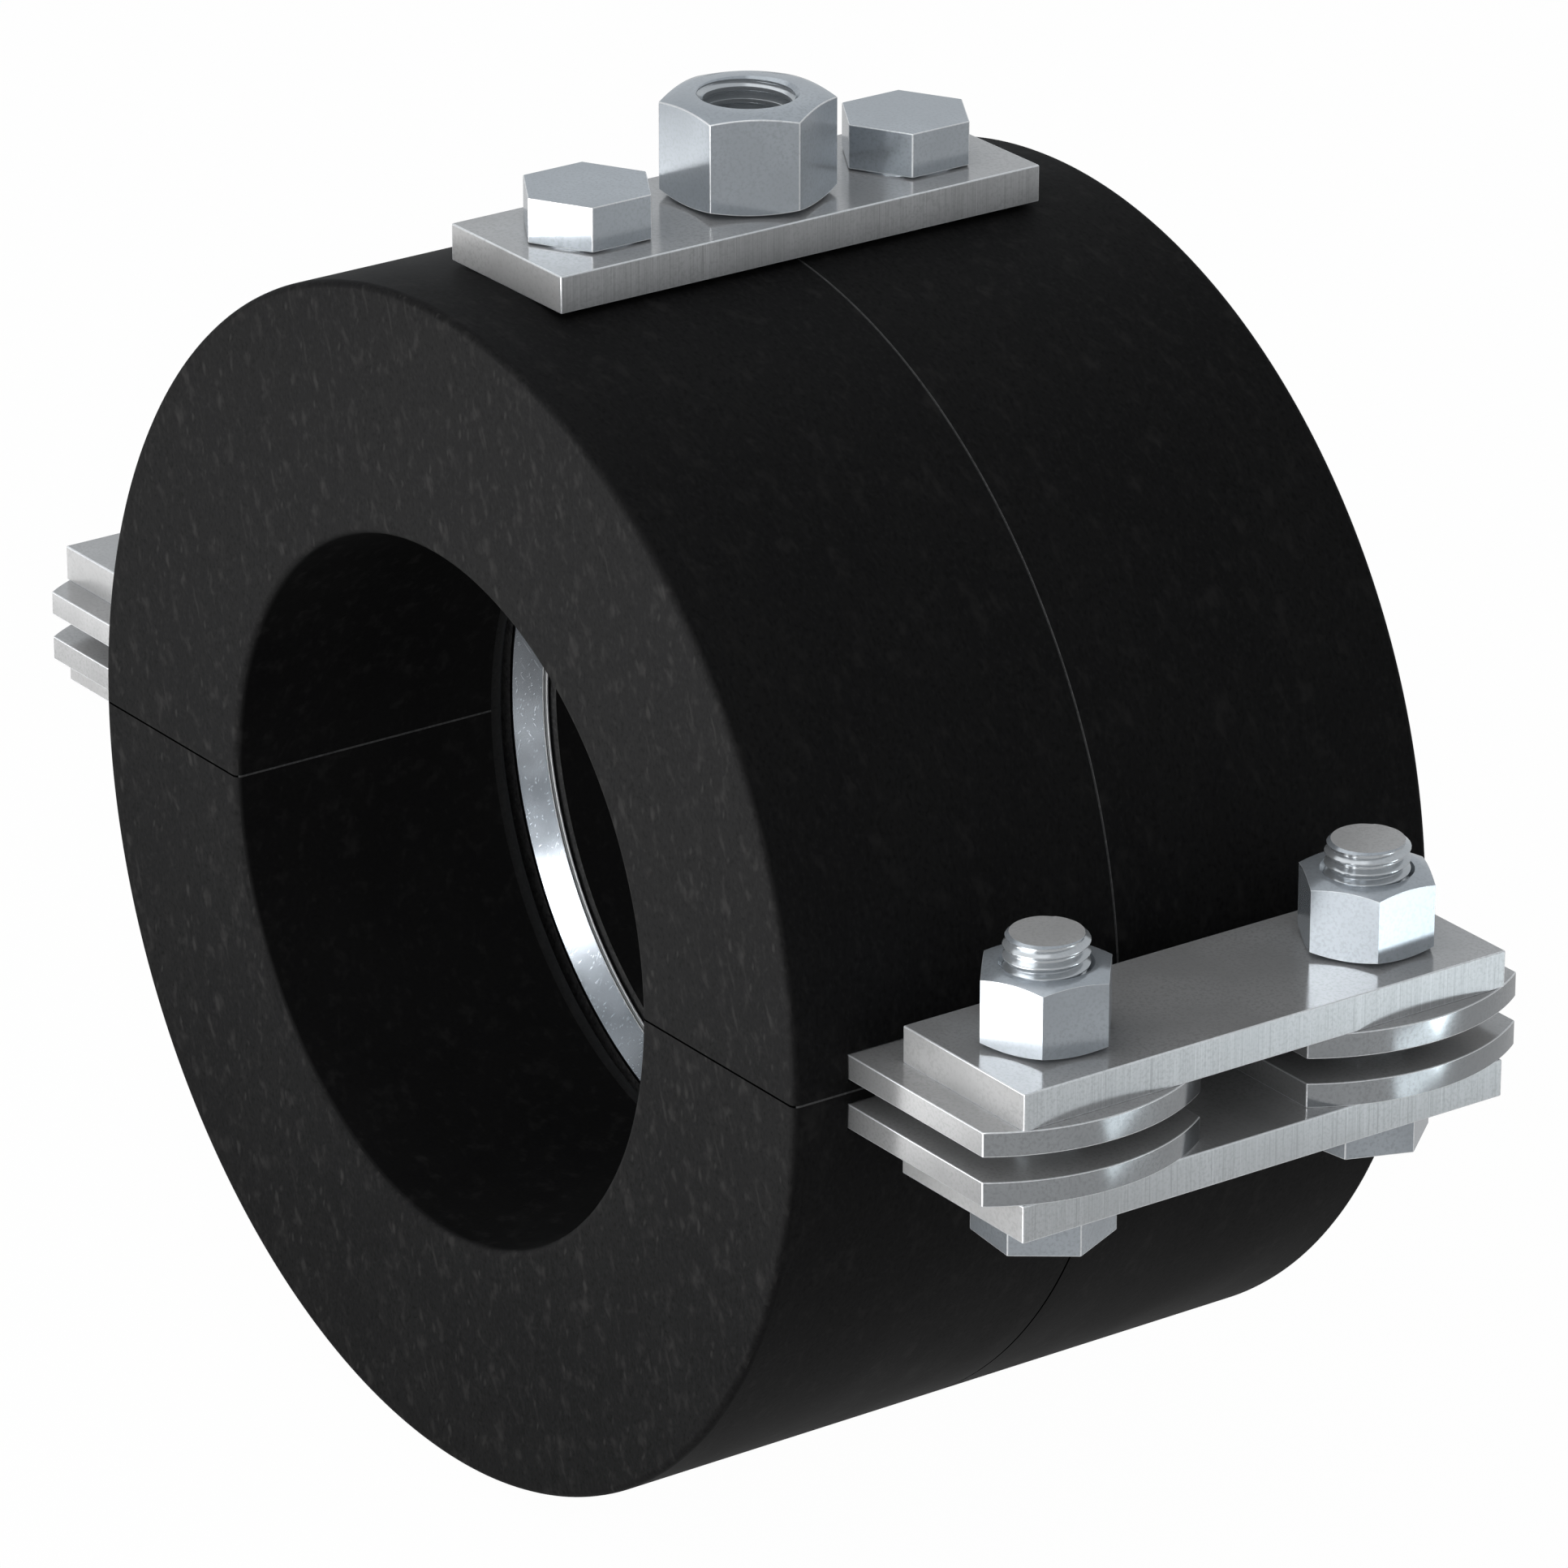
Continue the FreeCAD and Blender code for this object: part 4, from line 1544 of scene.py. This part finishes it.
    def build(self) -> None:
        """Model and place every bolt and nut."""
        for index, row in enumerate(Row):
            y = row.sign * self.row_y
            for side in Side:
                self.side_pair(side, row, index, (side.sign * self.side_x, y))
            bolt = self.head(f"crown_bolt_{row.value}", self.top_turn, True)
            boolean(bolt, self.shank(self.top_bolt_length, False), "UNION")
            place(bolt, (0, y, self.crown_top))
            self.fasten(bolt, "upper_half", f"top_bolt_{row.value}")
        size = NutSize(
            flats=self.hanger_flats,
            height=self.hanger_height,
            chamfer=self.hanger_chamfer,
            root=self.hanger_root,
            crest=self.hanger_crest,
            pitch=self.hanger_pitch,
            mouth=self.hanger_mouth,
        )
        nut = place(self.nut("hanger", size, 0, 0), (0, 0, self.crown_top))
        self.fasten(nut, "upper_half", "hanger_nut")

    def side_pair(self, side: Side, row: Row, index: int, at: Point2) -> None:
        """Make the bolt and the nut of one corner.

        Args:
            side: Side of the clamp.
            row: Row along the pipe.
            index: 0 for the front row and 1 for the rear one.
            at: Place of the bolt's axis.
        """
        name = f"{side.value}_{row.value}"
        bolt = self.head(f"bolt_{name}", self.head_turns[side][index], False)
        boolean(bolt, self.shank(self.side_bolt_length, True), "UNION")
        place(bolt, (*at, -self.bar_top))
        self.fasten(bolt, "lower_half", f"side_bolt_{name}")
        size = NutSize(
            flats=self.bolt_flats,
            height=self.nut_height,
            chamfer=self.nut_chamfer,
            root=self.root_radius + self.nut_clearance,
            crest=self.crest_radius + self.nut_clearance,
            pitch=self.pitch,
            mouth=self.crest_radius + self.nut_sink,
        )
        nut = self.nut(f"nut_{name}", size, self.nut_turns[side][index], 2 * self.bar_top)
        place(nut, (*at, self.bar_top))
        self.fasten(nut, f"side_nut_{name}", f"side_nut_{name}")

    def fasten(self, piece: bpy.types.Object, body: str, node: str) -> None:
        """Close a fastener's mesh and let it stand for its node."""
        settle(closed(piece), body, node, 28)


@dataclass
class BandBosses:
    """The threaded bosses under the plate, kept as packed and given their finish."""

    nodes: tuple[str, str] = ("band_boss_front", "band_boss_rear")

    def dress_nodes(self, material: bpy.types.Material) -> None:
        """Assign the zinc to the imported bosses."""
        for name in self.nodes:
            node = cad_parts[name]
            for slot in node.material_slots:
                slot.material = material
            log.info("boss %s dressed", name)


def main() -> None:
    """Build the studio and the clamp, piece by piece."""
    logging.basicConfig(level=logging.INFO, format="%(name)s: %(message)s")
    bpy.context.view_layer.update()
    Studio().build()
    flat = ZincFinish(SteelZone.FLAT, (0.47, 0.472, 0.474), 0.17, 0.42).make()
    sheared = ZincFinish(SteelZone.SHEARED, (0.45, 0.46, 0.47), 0.30, 0.55).make()
    # Pale copy of the zinc on the bevels: partly wear on the edges and partly a painted highlight.
    edge = ZincFinish(SteelZone.EDGE, (0.86, 0.88, 0.90), 0.25, 0.35).make()
    # Duller, more diffuse copy of the zinc for the end faces: partly their own cut finish and partly
    # painted light from the front.
    end = ZincFinish(SteelZone.END, (0.47, 0.47, 0.47), 0.35, 0.15).make()
    rim = ZincFinish(SteelZone.RIM, (0.325, 0.34, 0.353), 0.15, 0.85).make()
    hexes = ZincFinish(SteelZone.HEX, (0.448, 0.487, 0.525), 0.18, 0.48).make()
    thread = ZincFinish(SteelZone.THREAD, (0.54, 0.565, 0.585), 0.17, 0.60, 0.05).make()
    finishes = [flat, sheared, edge, end, rim]
    bands = ClampBands()
    InsulationSleeve().build(bands)
    bands.build(finishes)
    FlatBars().build(finishes)
    # Pale zinc on the ring's edges and step: a painted highlight.
    worn = ZincFinish(SteelZone.PAINTED_GLINT, (0.74, 0.75, 0.76), 0.35, 0.2, 0.0).make()
    # Pale, diffuse zinc on the flat band behind the groove: painted light, where the ring steel would
    # mirror the dark foam.
    land = ZincFinish(SteelZone.PAINTED_LIGHT_LAND, (0.62, 0.63, 0.64), 0.35, 0.2, 0.05).make()
    # Near-black zinc in the fine groove: painted shade.
    groove = ZincFinish(SteelZone.PAINTED_SHADE_GROOVE, (0.10, 0.10, 0.10), 0.5, 0.2).make()
    BoreRing().build([RingFinish().make(), land, worn, groove])
    Fasteners(finishes=[hexes, edge, thread, end]).build()
    BandBosses().dress_nodes(flat)


if __name__ == "__main__":
    main()
